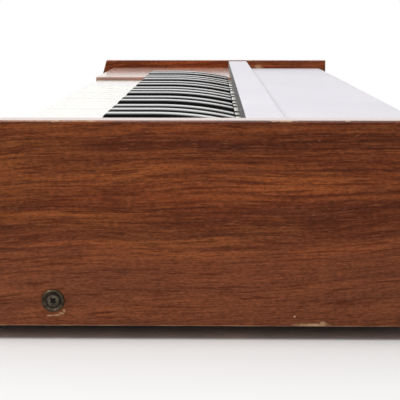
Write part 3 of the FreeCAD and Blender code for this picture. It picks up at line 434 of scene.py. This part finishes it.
# The cheeks' faces that the photograph shows: the near one's outer face and the far one's inner face
NEAR_X = 0.3725
FAR_X = -0.3565


def plain_metal(name, colour, rough, seed):
    """Bright metal drawn along the keyboard, with dull clouds."""
    paint = Paint(name, Metallic=1.0)
    grain = paint.noise((40 + seed, 900, 900), 3.0, 0.6)
    cloud = paint.noise((18, 18, 18), 3.0, 0.6)
    dull = tuple(c * 0.72 for c in colour)
    paint.bump(grain, 0.12, 0.0002)
    return paint.set(
        Base_Color=paint.mix(paint.ramp(cloud, 0.35, 0.7), colour, dull),
        Roughness=paint.ramp(grain, 0.3, 0.7, rough - 0.07, rough + 0.08),
    )


def worn_metal(name, bright, dark, rough, shade_depth=0.0):
    """Plated metal with dull brown patches, and painted shade up to a depth above the cheeks' outer faces,
    low in the screws' cups.
    """
    paint = Paint(name, Metallic=0.85)
    cloud = paint.noise((420, 420, 420), 4.0, 0.65)
    fine = paint.noise((2200, 2200, 2200), 2.0, 0.6)
    paint.bump(fine, 0.15, 0.0001)
    grime_and_shade = paint.ramp(cloud, 0.38, 0.66)
    # Painted shade: whatever sits low in a cup, near the cheek's face, is darkened
    if shade_depth:
        out = paint.math("ABSOLUTE", paint.axes.outputs[0])
        low = paint.ramp(out, NEAR_X + shade_depth, NEAR_X + shade_depth / 2)
        grime_and_shade = paint.math("MAXIMUM", grime_and_shade, low)
    return paint.set(
        Base_Color=paint.mix(grime_and_shade, bright, dark),
        Roughness=paint.ramp(cloud, 0.35, 0.7, rough - 0.06, rough + 0.18),
    )


def textured_paint(name, colour, rough, grit, depth):
    """Powder coat: a fine pebbled surface with slight changes of shade."""
    paint = Paint(name, Specular_IOR_Level=0.35)
    pebbles = paint.noise((grit, grit, grit), 2.0, 0.6)
    cloud = paint.noise((9, 9, 9), 3.0, 0.6)
    light = tuple(min(1.0, c * 1.05 + 0.003) for c in colour)
    paint.bump(pebbles, 0.4, depth)
    return paint.set(
        Base_Color=paint.mix(paint.ramp(cloud, 0.35, 0.65), colour, light),
        Roughness=paint.ramp(pebbles, 0.3, 0.7, rough - 0.05, rough + 0.06),
    )


def gloss_key(name, colour, tint, rough, scuff, side_gloss, **surface):
    """Moulded key plastic whose tint changes from key to key. Its tops are polished, its sides less so."""
    paint = Paint(name, **surface)
    keyed = paint.noise((43, 0.8, 0.8), 1.0)
    marks = paint.noise((700, 45, 700), 3.0, 0.7)
    shade = paint.mix(paint.ramp(keyed, 0.3, 0.7), colour, tint)
    paint.bump(paint.noise((120, 30, 120), 1.0), 0.02, 0.0001)
    return paint.set(
        Base_Color=shade,
        Roughness=paint.ramp(marks, 0.45, 0.8, rough, rough + scuff),
        Coat_Weight=paint.upward(0.5, 0.9, side_gloss, 1.0),
    )


# Bounds of the dark parts on the main board: lowest and highest Z, and the front of the board in Y
PARTS_LOW = 0.019
PARTS_HIGH = 0.040
PARTS_FRONT = -0.051
# The transformer's core: its middle in Y and half its depth. Beyond it is the coil
CORE_Y = 0.0665
CORE_HALF = 0.0111


def make_board_material():
    """Green laminate with copper tracks, and dark parts above the main board."""
    paint = Paint("board_laminate", Specular_IOR_Level=0.5)
    cells = paint.node("ShaderNodeTexVoronoi", feature="DISTANCE_TO_EDGE")
    paint.link(paint.scaled((190, 190, 190)), cells.inputs["Vector"])
    cells.inputs["Scale"].default_value = 1.0
    cells.inputs["Randomness"].default_value = 0.25
    tracks = paint.ramp(cells.outputs["Distance"], 0.05, 0.08, 1.0, 0.0)
    green = paint.mix(paint.noise((30, 30, 30)), srgb(38, 84, 52), srgb(52, 104, 62))
    green = paint.mix(paint.math("MULTIPLY", tracks, 0.6), green, srgb(96, 138, 74))
    above = paint.ramp(paint.axes.outputs[2], PARTS_LOW - 0.0001, PARTS_LOW + 0.0001)
    low = paint.ramp(paint.axes.outputs[2], PARTS_HIGH - 0.0005, PARTS_HIGH + 0.0005, 1.0, 0.0)
    inside = paint.ramp(paint.axes.outputs[1], PARTS_FRONT - 0.0002, PARTS_FRONT + 0.0002)
    parts = paint.math("MULTIPLY", paint.math("MULTIPLY", above, low), inside)
    colour = paint.mix(parts, green, srgb(34, 34, 36))
    paint.bump(tracks, 0.2, 0.0001)
    return paint.set(Base_Color=colour, Roughness=paint.ramp(parts, 0.0, 1.0, 0.35, 0.55))


def make_transformer_material():
    """Varnished laminations round a paper-covered coil."""
    paint = Paint("transformer_laminations", Specular_IOR_Level=0.5)
    layers = paint.node("ShaderNodeTexWave", wave_type="BANDS", bands_direction="Y")
    paint.link(paint.scaled((1, 1, 1)), layers.inputs["Vector"])
    layers.inputs["Scale"].default_value = 420.0
    layers.inputs["Distortion"].default_value = 1.5
    cloud = paint.noise((60, 60, 60), 3.0)
    iron = paint.mix(layers.outputs["Fac"], srgb(58, 50, 44), srgb(96, 84, 72))
    off_core = paint.math("ABSOLUTE", paint.math("SUBTRACT", paint.axes.outputs[1], CORE_Y))
    coil = paint.ramp(off_core, CORE_HALF, CORE_HALF + 0.0003)
    colour = paint.mix(coil, iron, paint.mix(cloud, srgb(196, 164, 92), srgb(168, 134, 70)))
    paint.bump(layers.outputs["Fac"], 0.3, 0.0002)
    return paint.set(Base_Color=colour, Roughness=paint.ramp(cloud, 0.3, 0.7, 0.38, 0.55))


# The mains inlet's middle, its inner floor and its three pins, of which the middle one stands higher
INLET_X = -0.2065
INLET_FLOOR_Y = 0.1320
SOCKET_Z = 0.052
PIN_PITCH = 0.014
PIN_OFFSET = 0.004
PIN_HALF_WIDTH = 0.0011
PIN_HALF_HEIGHT = 0.0021


def make_inlet_material():
    """Black moulding whose pins are bare metal."""
    paint = Paint("inlet_plastic", Specular_IOR_Level=0.5)
    pins = None
    for side, rise in ((-1, -1), (1, -1), (0, 1)):
        x = INLET_X + side * PIN_PITCH / 2
        z = SOCKET_Z + rise * PIN_OFFSET / 2
        wide = paint.math("ABSOLUTE", paint.math("SUBTRACT", paint.axes.outputs[0], x))
        tall = paint.math("ABSOLUTE", paint.math("SUBTRACT", paint.axes.outputs[2], z))
        within_x = paint.math("LESS_THAN", wide, PIN_HALF_WIDTH)
        within_z = paint.math("LESS_THAN", tall, PIN_HALF_HEIGHT)
        inside = paint.math("MULTIPLY", within_x, within_z)
        pins = inside if pins is None else paint.math("MAXIMUM", pins, inside)
    off_floor = paint.math("GREATER_THAN", paint.axes.outputs[1], INLET_FLOOR_Y + 0.0002)
    pins = paint.math("MULTIPLY", pins, off_floor)
    pebbles = paint.noise((1400, 1400, 1400), 2.0)
    paint.bump(pebbles, 0.2, 0.0001)
    colour = paint.mix(paint.noise((30, 30, 30)), srgb(26, 26, 27), srgb(36, 36, 37))
    return paint.set(
        Base_Color=paint.mix(pins, colour, srgb(206, 200, 186)),
        Metallic=pins,
        Roughness=paint.ramp(pebbles, 0.3, 0.7, 0.38, 0.5),
    )


# Worn spots of the near and the far cheek: centre and half sizes, in metres
NEAR_SPOTS = [
    ((NEAR_X, -0.0713, 0.1230), (0.0012, 0.0028, 0.0008)),
    ((NEAR_X, -0.0522, 0.1230), (0.0010, 0.0024, 0.0007)),
    ((NEAR_X, 0.0510, 0.1230), (0.0012, 0.0075, 0.0006)),
    ((NEAR_X, 0.0858, 0.1230), (0.0010, 0.0016, 0.0006)),
    ((NEAR_X, -0.0800, 0.1228), (0.0008, 0.0300, 0.0003)),
    ((NEAR_X, 0.0690, 0.0086), (0.0012, 0.0100, 0.0012)),
    ((NEAR_X, 0.0750, 0.0090), (0.0012, 0.0020, 0.0018)),
    ((NEAR_X, 0.0593, 0.0140), (0.0006, 0.0007, 0.0005)),
    ((NEAR_X, -0.0767, 0.0140), (0.0006, 0.0021, 0.00042)),
    ((NEAR_X, -0.0732, 0.0143), (0.0006, 0.0022, 0.00042)),
    ((NEAR_X, -0.0704, 0.0153), (0.0006, 0.0013, 0.0006)),
    ((NEAR_X, -0.0690, 0.0168), (0.0006, 0.0006, 0.0011)),
]
FAR_SPOTS = [
    ((FAR_X, 0.0688, 0.1142), (0.0020, 0.0036, 0.0024)),
    ((-NEAR_X, -0.0310, 0.1230), (0.0012, 0.0060, 0.0007)),
    ((-NEAR_X, 0.0920, 0.0082), (0.0012, 0.0080, 0.0012)),
]


def dress_nodes():
    """Gives each CAD node its material, and returns the materials by name."""
    finishes = {
        "wood_near": wood("veneer_near", "y", NEAR_SPOTS, 0.0, worn_low=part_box("right_cheek")[0][2]),
        "wood_far": wood("veneer_far", "y", FAR_SPOTS, 3.0, softness=0.8),
        "wood_block": wood("veneer_block", "x", [], 7.0, 1.7, painted_light_top=0.2, painted_light_sides=0.5, gloss=1.75),
        "cover": textured_paint("cover_paint", srgb(222, 219, 226), 0.42, 900, 0.00006),
        "case": textured_paint("case_paint", srgb(38, 38, 39), 0.5, 1300, 0.0002),
        "panel": textured_paint("panel_paint", srgb(30, 30, 31), 0.45, 1500, 0.0001),
        "steel": plain_metal("zinc_steel", srgb(188, 188, 192), 0.36, 0),
        "nickel": worn_metal("aged_nickel", srgb(196, 192, 182), srgb(140, 134, 122), 0.24),
        "spring": plain_metal("spring_steel", srgb(172, 174, 180), 0.24, 5),
        "plastic": textured_paint("black_moulding", srgb(30, 30, 31), 0.42, 1400, 0.0001),
        "white_key": gloss_key(
            "white_key_plastic", srgb(247, 245, 238), srgb(243, 240, 229), 0.3, 0.06, 0.5,
            Coat_Roughness=0.24,
        ),
        "black_key": gloss_key(
            "black_key_plastic", srgb(14, 14, 15), srgb(19, 19, 19), 0.12, 0.05, 0.04,
            Coat_Roughness=0.05, Coat_IOR=1.6, Specular_Tint=NO_TINT,
        ),
        "control": textured_paint("control_plastic", srgb(27, 27, 28), 0.36, 1700, 0.00005),
        "switch": gloss_key("switch_plastic", srgb(226, 222, 212), srgb(218, 213, 200), 0.2, 0.1, 0.4),
        "board": make_board_material(),
        "transformer": make_transformer_material(),
        "inlet": make_inlet_material(),
    }
    dressing = {
        "right_cheek": "wood_near",
        "left_cheek": "wood_far",
        "left_block": "wood_block",
        "top_cover": "cover",
        "rear_panel": "case",
        "front_panel": "panel",
        "base_plate": "case",
        "key_frame": "steel",
        "key_springs": "spring",
        "jack_block": "plastic",
        "power_inlet": "inlet",
        "circuit_boards": "board",
        "power_transformer": "transformer",
        "rubber_feet": "plastic",
        "cheek_fasteners": "steel",
    }
    for name, item in nodes.items():
        if name in dressing:
            finish = dressing[name]
        elif name.startswith("key_"):
            finish = "black_key" if "_sharp" in name else "white_key"
        else:
            finish = "switch" if "switch" in name else "control"
        item.data.materials.clear()
        item.data.materials.append(finishes[finish])
    return finishes


finishes = dress_nodes()


# Shapes of the scene's own pieces, in millimetres until a piece is made

CURVE_SIDES = 48


def turned(radius, index, sides, height=0.0):
    """A point on a circle about the Z axis."""
    turn = 2 * math.pi * index / sides
    return Vector((radius * math.cos(turn), radius * math.sin(turn), height))


def join_rings(shape, low, high):
    """Faces between two rings of points. A ring that is one point repeated gives triangles."""
    sides = len(low)
    for i in range(sides):
        j = (i + 1) % sides
        corners = []
        for vert in (low[i], low[j], high[j], high[i]):
            if vert not in corners:
                corners.append(vert)
        if len(corners) > 2:
            shape.faces.new(corners)


def lathe(shape, profile, place, sides=CURVE_SIDES):
    """Turns a closed profile of (radius, height) about the local Z axis."""
    rings = []
    for radius, height in profile:
        if radius == 0:
            rings.append([shape.verts.new(place @ Vector((0, 0, height)))] * sides)
        else:
            rings.append([shape.verts.new(place @ turned(radius, i, sides, height)) for i in range(sides)])
    pairs = list(zip(rings, rings[1:]))
    if profile[0][0] != 0:
        pairs.append((rings[-1], rings[0]))
    for low, high in pairs:
        join_rings(shape, low, high)


def block(shape, low, high, place=Matrix(), bevel=0.0):
    """A block between two corners, with its edges rounded when a bevel is given."""
    whole = bmesh.new()
    middle = [(a + b) / 2 for a, b in zip(low, high)]
    size = Matrix.Diagonal([b - a for a, b in zip(low, high)] + [1])
    bmesh.ops.create_cube(whole, size=1.0, matrix=Matrix.Translation(middle) @ size)
    if bevel:
        bmesh.ops.bevel(whole, geom=whole.edges[:], offset=bevel, segments=3, profile=0.5, affect="EDGES")
    bmesh.ops.transform(whole, matrix=place, verts=whole.verts[:])
    mesh = bpy.data.meshes.new("part")
    whole.to_mesh(mesh)
    whole.free()
    shape.from_mesh(mesh)
    bpy.data.meshes.remove(mesh)


HEAD_STEPS = 22
# The recess's reach and half width as shares of the head's radius, how steeply it falls and how deep
CROSS_REACH = 0.62
CROSS_HALF = 0.16
CROSS_FALL = 2.4
CROSS_DEPTH = 0.8
CROSS_RIM_SHARE = 0.7


def cross_head(shape, place, radius, rise, rim):
    """A domed screw head with a cross recess. Its rim stands rim high and its crown rise higher."""
    arm = radius * CROSS_REACH
    half = radius * CROSS_HALF
    rings = []
    for step in range(HEAD_STEPS + 1):
        reach = radius * step / HEAD_STEPS
        ring = []
        for i in range(CURVE_SIDES if step else 1):
            point = turned(reach, i, CURVE_SIDES)
            point.z = rim + rise * (1 - (reach / radius) ** 2)
            depth = 0.0
            for a, b in ((point.x, point.y), (point.y, point.x)):
                depth = max(depth, max(0.0, 1 - abs(a) / (half * 2)) * max(0.0, 1 - abs(b) / arm))
            point.z -= min(1.0, depth * CROSS_FALL) * (rise + rim * CROSS_RIM_SHARE) * CROSS_DEPTH
            ring.append(shape.verts.new(place @ point))
        rings.append(ring if step else ring * CURVE_SIDES)
    foot = [shape.verts.new(place @ turned(radius, i, CURVE_SIDES)) for i in range(CURVE_SIDES)]
    rings.append(foot)
    for inner, outer in zip(rings, rings[1:]):
        join_rings(shape, outer, inner)
    shape.faces.new(foot[::-1])


def facing(axis, place, turn=0.0):
    """Stands a shape drawn on the XY plane at a place, with its Z axis along the given axis."""
    tilt = Vector(axis).to_track_quat("Z", "Y").to_matrix().to_4x4()
    return Matrix.Translation(place) @ tilt @ Matrix.Rotation(turn, 4, "Z")


def new_piece(name, shape, material, body, sharp=35.0):
    """Makes a scene object of a shape in millimetres, which rides on a body.

    Edges that turn by more than sharp degrees aren't shaded smooth.
    """
    bmesh.ops.scale(shape, vec=(MM, MM, MM), verts=shape.verts[:])
    bmesh.ops.recalc_face_normals(shape, faces=shape.faces[:])
    mesh = bpy.data.meshes.new(name)
    shape.to_mesh(mesh)
    shape.free()
    piece = bpy.data.objects.new(name, mesh)
    bpy.context.scene.collection.objects.link(piece)
    mesh.materials.append(material)
    mesh.polygons.foreach_set("use_smooth", [True] * len(mesh.polygons))
    mesh.set_sharp_from_angle(angle=math.radians(sharp))
    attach(piece, body)
    return piece


def cad_mm(node):
    """A node's lowest and highest corners, in millimetres."""
    return [[c / MM for c in corner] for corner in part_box(node)]


# Screws, feet and sockets
# Heads are given as (radius, rise, rim). Their turns, in radians, keep the crosses from lining up

SCREW_Y = (-75.0, 127.0)
SCREW_Z = 22.6
SCREW_TURNS = (math.radians(45.0), math.radians(20.0))
CUP_PROFILE = [
    (4.1, 0.0), (6.25, 0.0), (6.45, 0.2), (6.38, 0.5), (6.15, 0.95), (5.8, 1.2),
    (5.45, 1.22), (5.2, 1.05), (4.45, 0.25), (4.1, 0.15),
]
SHANK_PROFILE = [(0, -24.0), (1.2, -24.0), (1.9, -21.0), (1.9, 0.2), (0, 0.2)]
SHANK_SIDES = 16
CHEEK_HEAD = (4.0, 0.8, 0.35)
# Painted shade: how far above the cheek's face the screws are darkened
SCREW_SHADE_DEPTH = 0.00085


def make_cheek_screws():
    cups = bmesh.new()
    heads = bmesh.new()
    outer = cad_mm("right_cheek")[1][0]
    for side in (-1, 1):
        for y, turn in zip(SCREW_Y, SCREW_TURNS):
            place = facing((side, 0, 0), (side * outer, y, SCREW_Z), turn)
            lathe(cups, CUP_PROFILE, place)
            cross_head(heads, place, *CHEEK_HEAD)
            lathe(heads, SHANK_PROFILE, place, SHANK_SIDES)
    bronze = worn_metal("dark_bronze", srgb(84, 72, 54), srgb(40, 33, 26), 0.36)
    steel = worn_metal("aged_screw_painted_shade", srgb(104, 94, 80), srgb(26, 21, 17), 0.38, SCREW_SHADE_DEPTH)
    rings = new_piece("cup_washers", cups, bronze, "case")
    screws = new_piece("cheek_screws", heads, steel, "case")
    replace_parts(rings, "cheek_fasteners")
    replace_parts(screws, "cheek_fasteners")


FOOT_PROFILE = [
    (0, 4.0), (4.6, 4.0), (5.0, 3.6), (5.0, 0.9), (5.6, 0.25), (6.4, 0.0), (10.2, 0.0), (11.0, 0.3),
    (11.4, 0.9), (12.4, 8.6), (12.5, 9.1), (12.3, 9.5), (0, 9.5),
]
FOOT_X = 336.5
FOOT_Y = (-115.0, 118.0)
FOOT_RECESS = 4.0
WASHER_THICKNESS = 0.5
WASHER_PROFILE = [(0, 0), (4.4, 0), (4.4, WASHER_THICKNESS), (0, WASHER_THICKNESS)]
FOOT_HEAD = (3.1, 0.8, 0.5)
FOOT_TURN = 0.3
DOWN = (0, 0, -1)


def make_feet():
    """Rubber feet, each with a washer and a screw up its recess."""
    rubber = bmesh.new()
    heads = bmesh.new()
    for x in (-FOOT_X, FOOT_X):
        for y in FOOT_Y:
            lathe(rubber, FOOT_PROFILE, Matrix.Translation((x, y, 0)))
            lathe(heads, WASHER_PROFILE, facing(DOWN, (x, y, FOOT_RECESS)))
            head_place = facing(DOWN, (x, y, FOOT_RECESS - WASHER_THICKNESS), FOOT_TURN)
            cross_head(heads, head_place, *FOOT_HEAD)
    paint = Paint("foot_rubber", Specular_IOR_Level=0.3)
    grit = paint.noise((1500, 1500, 1500), 3.0, 0.6)
    dust = paint.ramp(paint.noise((90, 90, 90), 4.0, 0.7), 0.45, 0.7, 0.0, 0.35)
    colour = paint.mix(dust, srgb(40, 39, 37), srgb(92, 88, 82))
    paint.bump(grit, 0.4, 0.0002)
    material = paint.set(Base_Color=colour, Roughness=paint.ramp(grit, 0.3, 0.7, 0.62, 0.8))
    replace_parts(new_piece("turned_feet", rubber, material, "case"), "rubber_feet")
    new_piece("foot_screws", heads, finishes["steel"], "case")


RING_PROFILE = [
    (3.3, 0.0), (5.0, 0.0), (5.15, 0.15), (5.15, 0.75), (4.95, 0.95),
    (4.1, 1.0), (4.0, 1.55), (3.85, 1.7), (3.45, 1.7), (3.3, 1.55),
]
JACK_X = (-286.5, -264.5)
REARWARD = (0, 1, 0)


def make_socket_trim():
    """Metal rings round the two jack sockets."""
    rings = bmesh.new()
    low, high = cad_mm("jack_block")
    middle = (low[2] + high[2]) / 2
    for x in JACK_X:
        lathe(rings, RING_PROFILE, facing(REARWARD, (x, high[1], middle)))
    new_piece("jack_rings", rings, finishes["nickel"], "case")


PLATE_SCREW_X = (-312.0, -177.0)
PLATE_SCREW_Z = (26.0, 78.0)
REAR_SCREWS = 7
REAR_SCREW_START = -342.0
REAR_SCREW_PITCH = 114.0
REAR_SCREW_Z = 17.5
BASE_SCREW_X = (-300.0, -150.0, 0.0, 150.0, 300.0)
BASE_SCREW_INSET = 12.0
PLATE_HEAD = (2.6, 0.75, 0.45)
REAR_HEAD = (2.8, 0.8, 0.5)
BASE_HEAD = (3.0, 0.9, 0.6)


def make_case_screws():
    """Small cross-head screws of the case: socket plate, rear panel and base."""
    bright = bmesh.new()
    black = bmesh.new()
    face = cad_mm("rear_panel")[1][1]
    for x in PLATE_SCREW_X:
        for z in PLATE_SCREW_Z:
            cross_head(bright, facing(REARWARD, (x, face, z), x + z), *PLATE_HEAD)
    for i in range(REAR_SCREWS):
        x = REAR_SCREW_START + i * REAR_SCREW_PITCH
        cross_head(black, facing(REARWARD, (x, face, REAR_SCREW_Z), i * 0.7), *REAR_HEAD)
    low, high = cad_mm("base_plate")
    for x in BASE_SCREW_X:
        for y in (low[1] + BASE_SCREW_INSET, high[1] - BASE_SCREW_INSET):
            cross_head(black, facing(DOWN, (x, y, low[2]), x * 0.03), *BASE_HEAD)
    new_piece("socket_screws", bright, finishes["nickel"], "case")
    new_piece("case_screws", black, finishes["plastic"], "case")


# Marks and inlays of the front panel

# Sizes of the case that the leaning panel follows
HALF_DEPTH = 151.5
CHEEK_TOP_DEPTH = 270.0
CHEEK_HEIGHT = 115.0
CHEEK_LIFT = 8.0
PANEL_SETBACK = 11.0
FRONT_RUN = 2 * HALF_DEPTH - CHEEK_TOP_DEPTH
PANEL_ANGLE = math.atan(FRONT_RUN / CHEEK_HEIGHT)
PANEL_OUT = Vector((0, -math.cos(PANEL_ANGLE), math.sin(PANEL_ANGLE)))
PANEL_UP = Vector((0, math.sin(PANEL_ANGLE), math.cos(PANEL_ANGLE)))
CONTROL_Z = 56.0
CONTROL_Y = PANEL_SETBACK - HALF_DEPTH + (CONTROL_Z - CHEEK_LIFT) * FRONT_RUN / CHEEK_HEIGHT
CONTROL_PITCH = 80.0
CONTROLS = (
    "power_switch", "volume_knob", "tune_knob", "octave_switch",
    "glide_slider", "waveform_knob", "cutoff_slider", "resonance_slider",
)
INK = 0.12
TICKS = 11
LONG_EVERY = 5
# Ends of a scale: degrees for a knob, millimetres for a slider
KNOB_TURN = 150.0
SLIDER_REACH = 15.0
# Where ticks start, where long and short ones end, and half their width
KNOB_TICKS = (12.6, 16.6, 15.4, 0.3)
SLIDER_TICKS = (7.6, 12.0, 10.4, 0.25)
DOT_PROFILE = [(0, 0), (0.9, 0), (0.9, INK), (0, INK)]
DOT_SIDES = 20
DOT_Y = 15.0
# Lowest and highest corners of an inlay, and how far its edges are rounded
POINTER = ((-0.52, 3.55, 14.25), (0.52, 9.6, 14.85), 0.12)
LINE = ((-5.9, -0.45, 7.7), (5.9, 0.45, 7.95), 0.1)


def on_panel(index):
    """Local axes of a control: X along the panel, Y up it and Z out of it."""
    x = (index - (len(CONTROLS) - 1) / 2) * CONTROL_PITCH
    axes = Matrix((Vector((1, 0, 0)), PANEL_UP, PANEL_OUT)).transposed()
    return Matrix.Translation((x, CONTROL_Y, CONTROL_Z)) @ axes.to_4x4()


def tick_steps(reach):
    """Each tick's place from -reach to reach, and whether it is a long one."""
    return [(-reach + 2 * reach * step / (TICKS - 1), step % LONG_EVERY == 0) for step in range(TICKS)]


def knob_scale(ink, place):
    start, long_end, short_end, half = KNOB_TICKS
    for turn, is_long in tick_steps(KNOB_TURN):
        end = long_end if is_long else short_end
        tick = place @ Matrix.Rotation(-math.radians(turn), 4, "Z")
        block(ink, (-half, start, 0.0), (half, end, INK), tick)


def slider_scale(ink, place):
    start, long_end, short_end, half = SLIDER_TICKS
    for y, is_long in tick_steps(SLIDER_REACH):
        end = long_end if is_long else short_end
        for side in (-1, 1):
            first, last = sorted((side * start, side * end))
            block(ink, (first, y - half, 0.0), (last, y + half, INK), place)


def switch_dots(ink, place):
    for y in (-DOT_Y, DOT_Y):
        lathe(ink, DOT_PROFILE, place @ Matrix.Translation((0, y, 0)), DOT_SIDES)


def make_panel_marks():
    ink = bmesh.new()
    for index, name in enumerate(CONTROLS):
        place = on_panel(index)
        if "knob" in name:
            knob_scale(ink, place)
        elif "slider" in name:
            slider_scale(ink, place)
        else:
            switch_dots(ink, place)
    paint = Paint("panel_ink", Specular_IOR_Level=0.4)
    rubbed = paint.ramp(paint.noise((700, 700, 700), 3.0, 0.6), 0.35, 0.6, 0.0, 0.4)
    colour = paint.mix(rubbed, srgb(226, 224, 216), srgb(160, 157, 150))
    new_piece("panel_marks", ink, paint.set(Base_Color=colour, Roughness=0.55), "case")


def make_control_inlays():
    """Pointers on the knobs and lines on the sliders, which move with them."""
    paint = Paint("inlay_white", Specular_IOR_Level=0.4)
    grit = paint.noise((1200, 1200, 1200), 2.0)
    colour = paint.mix(paint.ramp(grit, 0.3, 0.7), srgb(236, 233, 224), srgb(214, 210, 200))
    material = paint.set(Base_Color=colour, Roughness=0.4)
    for index, name in enumerate(CONTROLS):
        if "knob" in name:
            ending, (low, high, rounding) = "_pointer", POINTER
        elif "slider" in name:
            ending, (low, high, rounding) = "_line", LINE
        else:
            continue
        shape = bmesh.new()
        block(shape, low, high, on_panel(index), rounding)
        new_piece(name + ending, shape, material, name)


# Black keys with rounded edges and a true arch

# Half widths, then places along Y and heights, and the arch's radius, in millimetres
KEY = {
    "base": 6.6, "top": 5.9, "front": -57.5, "lean": 7.0, "flat_end": -23.0, "rear": 28.2,
    "tail": 88.0, "bottom": 96.4, "shelf": 106.0, "white_top": 110.4, "crown": 121.4, "arch": 245.0,
}
# Walls and roofs of a key, how far its two hollows overlap from the shelf down, and how far cuts run past
KEY_WALL = 1.6
KEY_FRONT_WALL = 8.0
KEY_ROOF = 8.0
KEY_SHELF_ROOF = 2.0
HOLLOWS_MEET = 3.0
PAST = 2.0
ROD_SLOT_Y = (76.45, 79.55)
ROD_SLOT_TOP = 97.85
ROD_SLOT_HALF = 9.0
ARCH_STEPS = 28
ROUNDING = 1.3
ROUNDING_STEPS = 4
ROUNDED_FROM = math.radians(40)


def key_side():
    """Points of a black key's side view, from the bottom of its front round to the bottom of its rear."""
    k = KEY
    points = [(k["front"], k["bottom"]), (k["front"], k["white_top"]), (k["front"] + k["lean"], k["crown"])]
    for step in range(ARCH_STEPS + 1):
        y = k["flat_end"] + (k["rear"] - k["flat_end"]) * step / ARCH_STEPS
        drop = k["arch"] - math.sqrt(k["arch"] ** 2 - (y - k["flat_end"]) ** 2)
        points.append((y, k["crown"] - drop))
    return points + [(k["rear"], k["shelf"]), (k["tail"], k["shelf"]), (k["tail"], k["bottom"])]


def key_blank(middle):
    """The key's outside with rounded edges, as a mesh object that the hollows are then cut from."""
    shape = bmesh.new()
    k = KEY
    sides = []
    for side in (-1, 1):
        row = []
        for y, z in key_side():
            share = max(0.0, (z - k["white_top"]) / (k["crown"] - k["white_top"]))
            half = k["base"] + (k["top"] - k["base"]) * share
            row.append(shape.verts.new((middle + side * half, y, z)))
        sides.append(row)
    count = len(sides[0])
    for i in range(count):
        j = (i + 1) % count
        shape.faces.new((sides[0][i], sides[0][j], sides[1][j], sides[1][i]))
    for row in sides:
        shape.faces.new(row)
    bmesh.ops.recalc_face_normals(shape, faces=shape.faces[:])
    mesh = bpy.data.meshes.new("key_blank")
    shape.to_mesh(mesh)
    shape.free()
    blank = bpy.data.objects.new("key_blank", mesh)
    bpy.context.scene.collection.objects.link(blank)
    rounding = blank.modifiers.new("rounding", "BEVEL")
    rounding.width = ROUNDING
    rounding.segments = ROUNDING_STEPS
    rounding.limit_method = "ANGLE"
    rounding.angle_limit = ROUNDED_FROM
    return blank


def key_hollows(middle):
    """What is cut from a blank: a hollow along the key, one under its cap, and the slot for the rod."""
    k = KEY
    half = k["base"] - KEY_WALL
    front = k["front"] + KEY_FRONT_WALL
    under = k["bottom"] - PAST
    spans = (
        (half, (front, k["tail"] - KEY_WALL), (under, k["shelf"] - KEY_SHELF_ROOF)),
        (half, (front, k["rear"] - KEY_WALL), (k["shelf"] - HOLLOWS_MEET, k["crown"] - KEY_ROOF)),
        (ROD_SLOT_HALF, ROD_SLOT_Y, (under, ROD_SLOT_TOP)),
    )
    tools = []
    for reach, (start, end), (low, high) in spans:
        piece = bmesh.new()
        block(piece, (middle - reach, start, low), (middle + reach, end, high))
        mesh = bpy.data.meshes.new("key_hollow")
        piece.to_mesh(mesh)
        piece.free()
        tool = bpy.data.objects.new("key_hollow", mesh)
        bpy.context.scene.collection.objects.link(tool)
        tools.append(tool)
    return tools


# Points of a cut key closer than this are joined
WELD = 0.0005
KEY_SHARP = 30.0


def make_black_keys():
    for name in sorted(nodes):
        if "_sharp" not in name:
            continue
        low, high = cad_mm(name)
        middle = (low[0] + high[0]) / 2
        blank = key_blank(middle)
        tools = key_hollows(middle)
        for tool in tools:
            cut = blank.modifiers.new("cut", "BOOLEAN")
            cut.operation = "DIFFERENCE"
            cut.solver = "EXACT"
            cut.object = tool
        bpy.context.view_layer.update()
        cut_blank = blank.evaluated_get(bpy.context.evaluated_depsgraph_get())
        shaped = bpy.data.meshes.new_from_object(cut_blank)
        shape = bmesh.new()
        shape.from_mesh(shaped)
        bmesh.ops.remove_doubles(shape, verts=shape.verts[:], dist=WELD)
        piece = new_piece(name + "_cap", shape, finishes["black_key"], name, KEY_SHARP)
        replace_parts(piece, name)
        for spare in [blank] + tools:
            bpy.data.objects.remove(spare, do_unlink=True)
        bpy.data.meshes.remove(shaped)


# A dark felt-like strip on the cover's front face, behind the keys: a dark sheet that stands in for the
# shade falling there

SHADE_STRIP_Z = (110.9, 121.4)
SHADE_STRIP_THICKNESS = 0.35
SHADE_STRIP_END_GAP = 0.5
SHADE_STRIP_ROUNDING = 0.12


def make_lip_shade_strip():
    low, high = cad_mm("top_cover")
    shape = bmesh.new()
    first = (low[0] + SHADE_STRIP_END_GAP, low[1] - SHADE_STRIP_THICKNESS, SHADE_STRIP_Z[0])
    last = (high[0] - SHADE_STRIP_END_GAP, low[1], SHADE_STRIP_Z[1])
    block(shape, first, last, bevel=SHADE_STRIP_ROUNDING)
    paint = Paint("lip_shade_strip", Specular_IOR_Level=0.1, Sheen_Weight=0.4, Sheen_Roughness=0.5)
    strip_texture = paint.noise((2200, 900, 2200), 4.0, 0.8)
    cloud = paint.noise((60, 60, 60), 3.0)
    # Painted shade: the strip's dark colour stands in for the shade on the cover's front face
    colour = paint.mix(paint.ramp(cloud, 0.35, 0.65), srgb(50, 49, 47), srgb(66, 64, 60))
    paint.bump(strip_texture, 0.8, 0.0003)
    material = paint.set(Base_Color=colour, Roughness=paint.ramp(strip_texture, 0.3, 0.7, 0.85, 0.95))
    new_piece("lip_shade_strip", shape, material, "case")


make_cheek_screws()
make_feet()
make_socket_trim()
make_case_screws()
make_panel_marks()
make_control_inlays()
make_black_keys()
make_lip_shade_strip()
make_camera()
make_world()
make_floor()
for lamp in LAMPS:
    make_lamp(*lamp)

bpy.context.scene.view_settings.view_transform = "Standard"
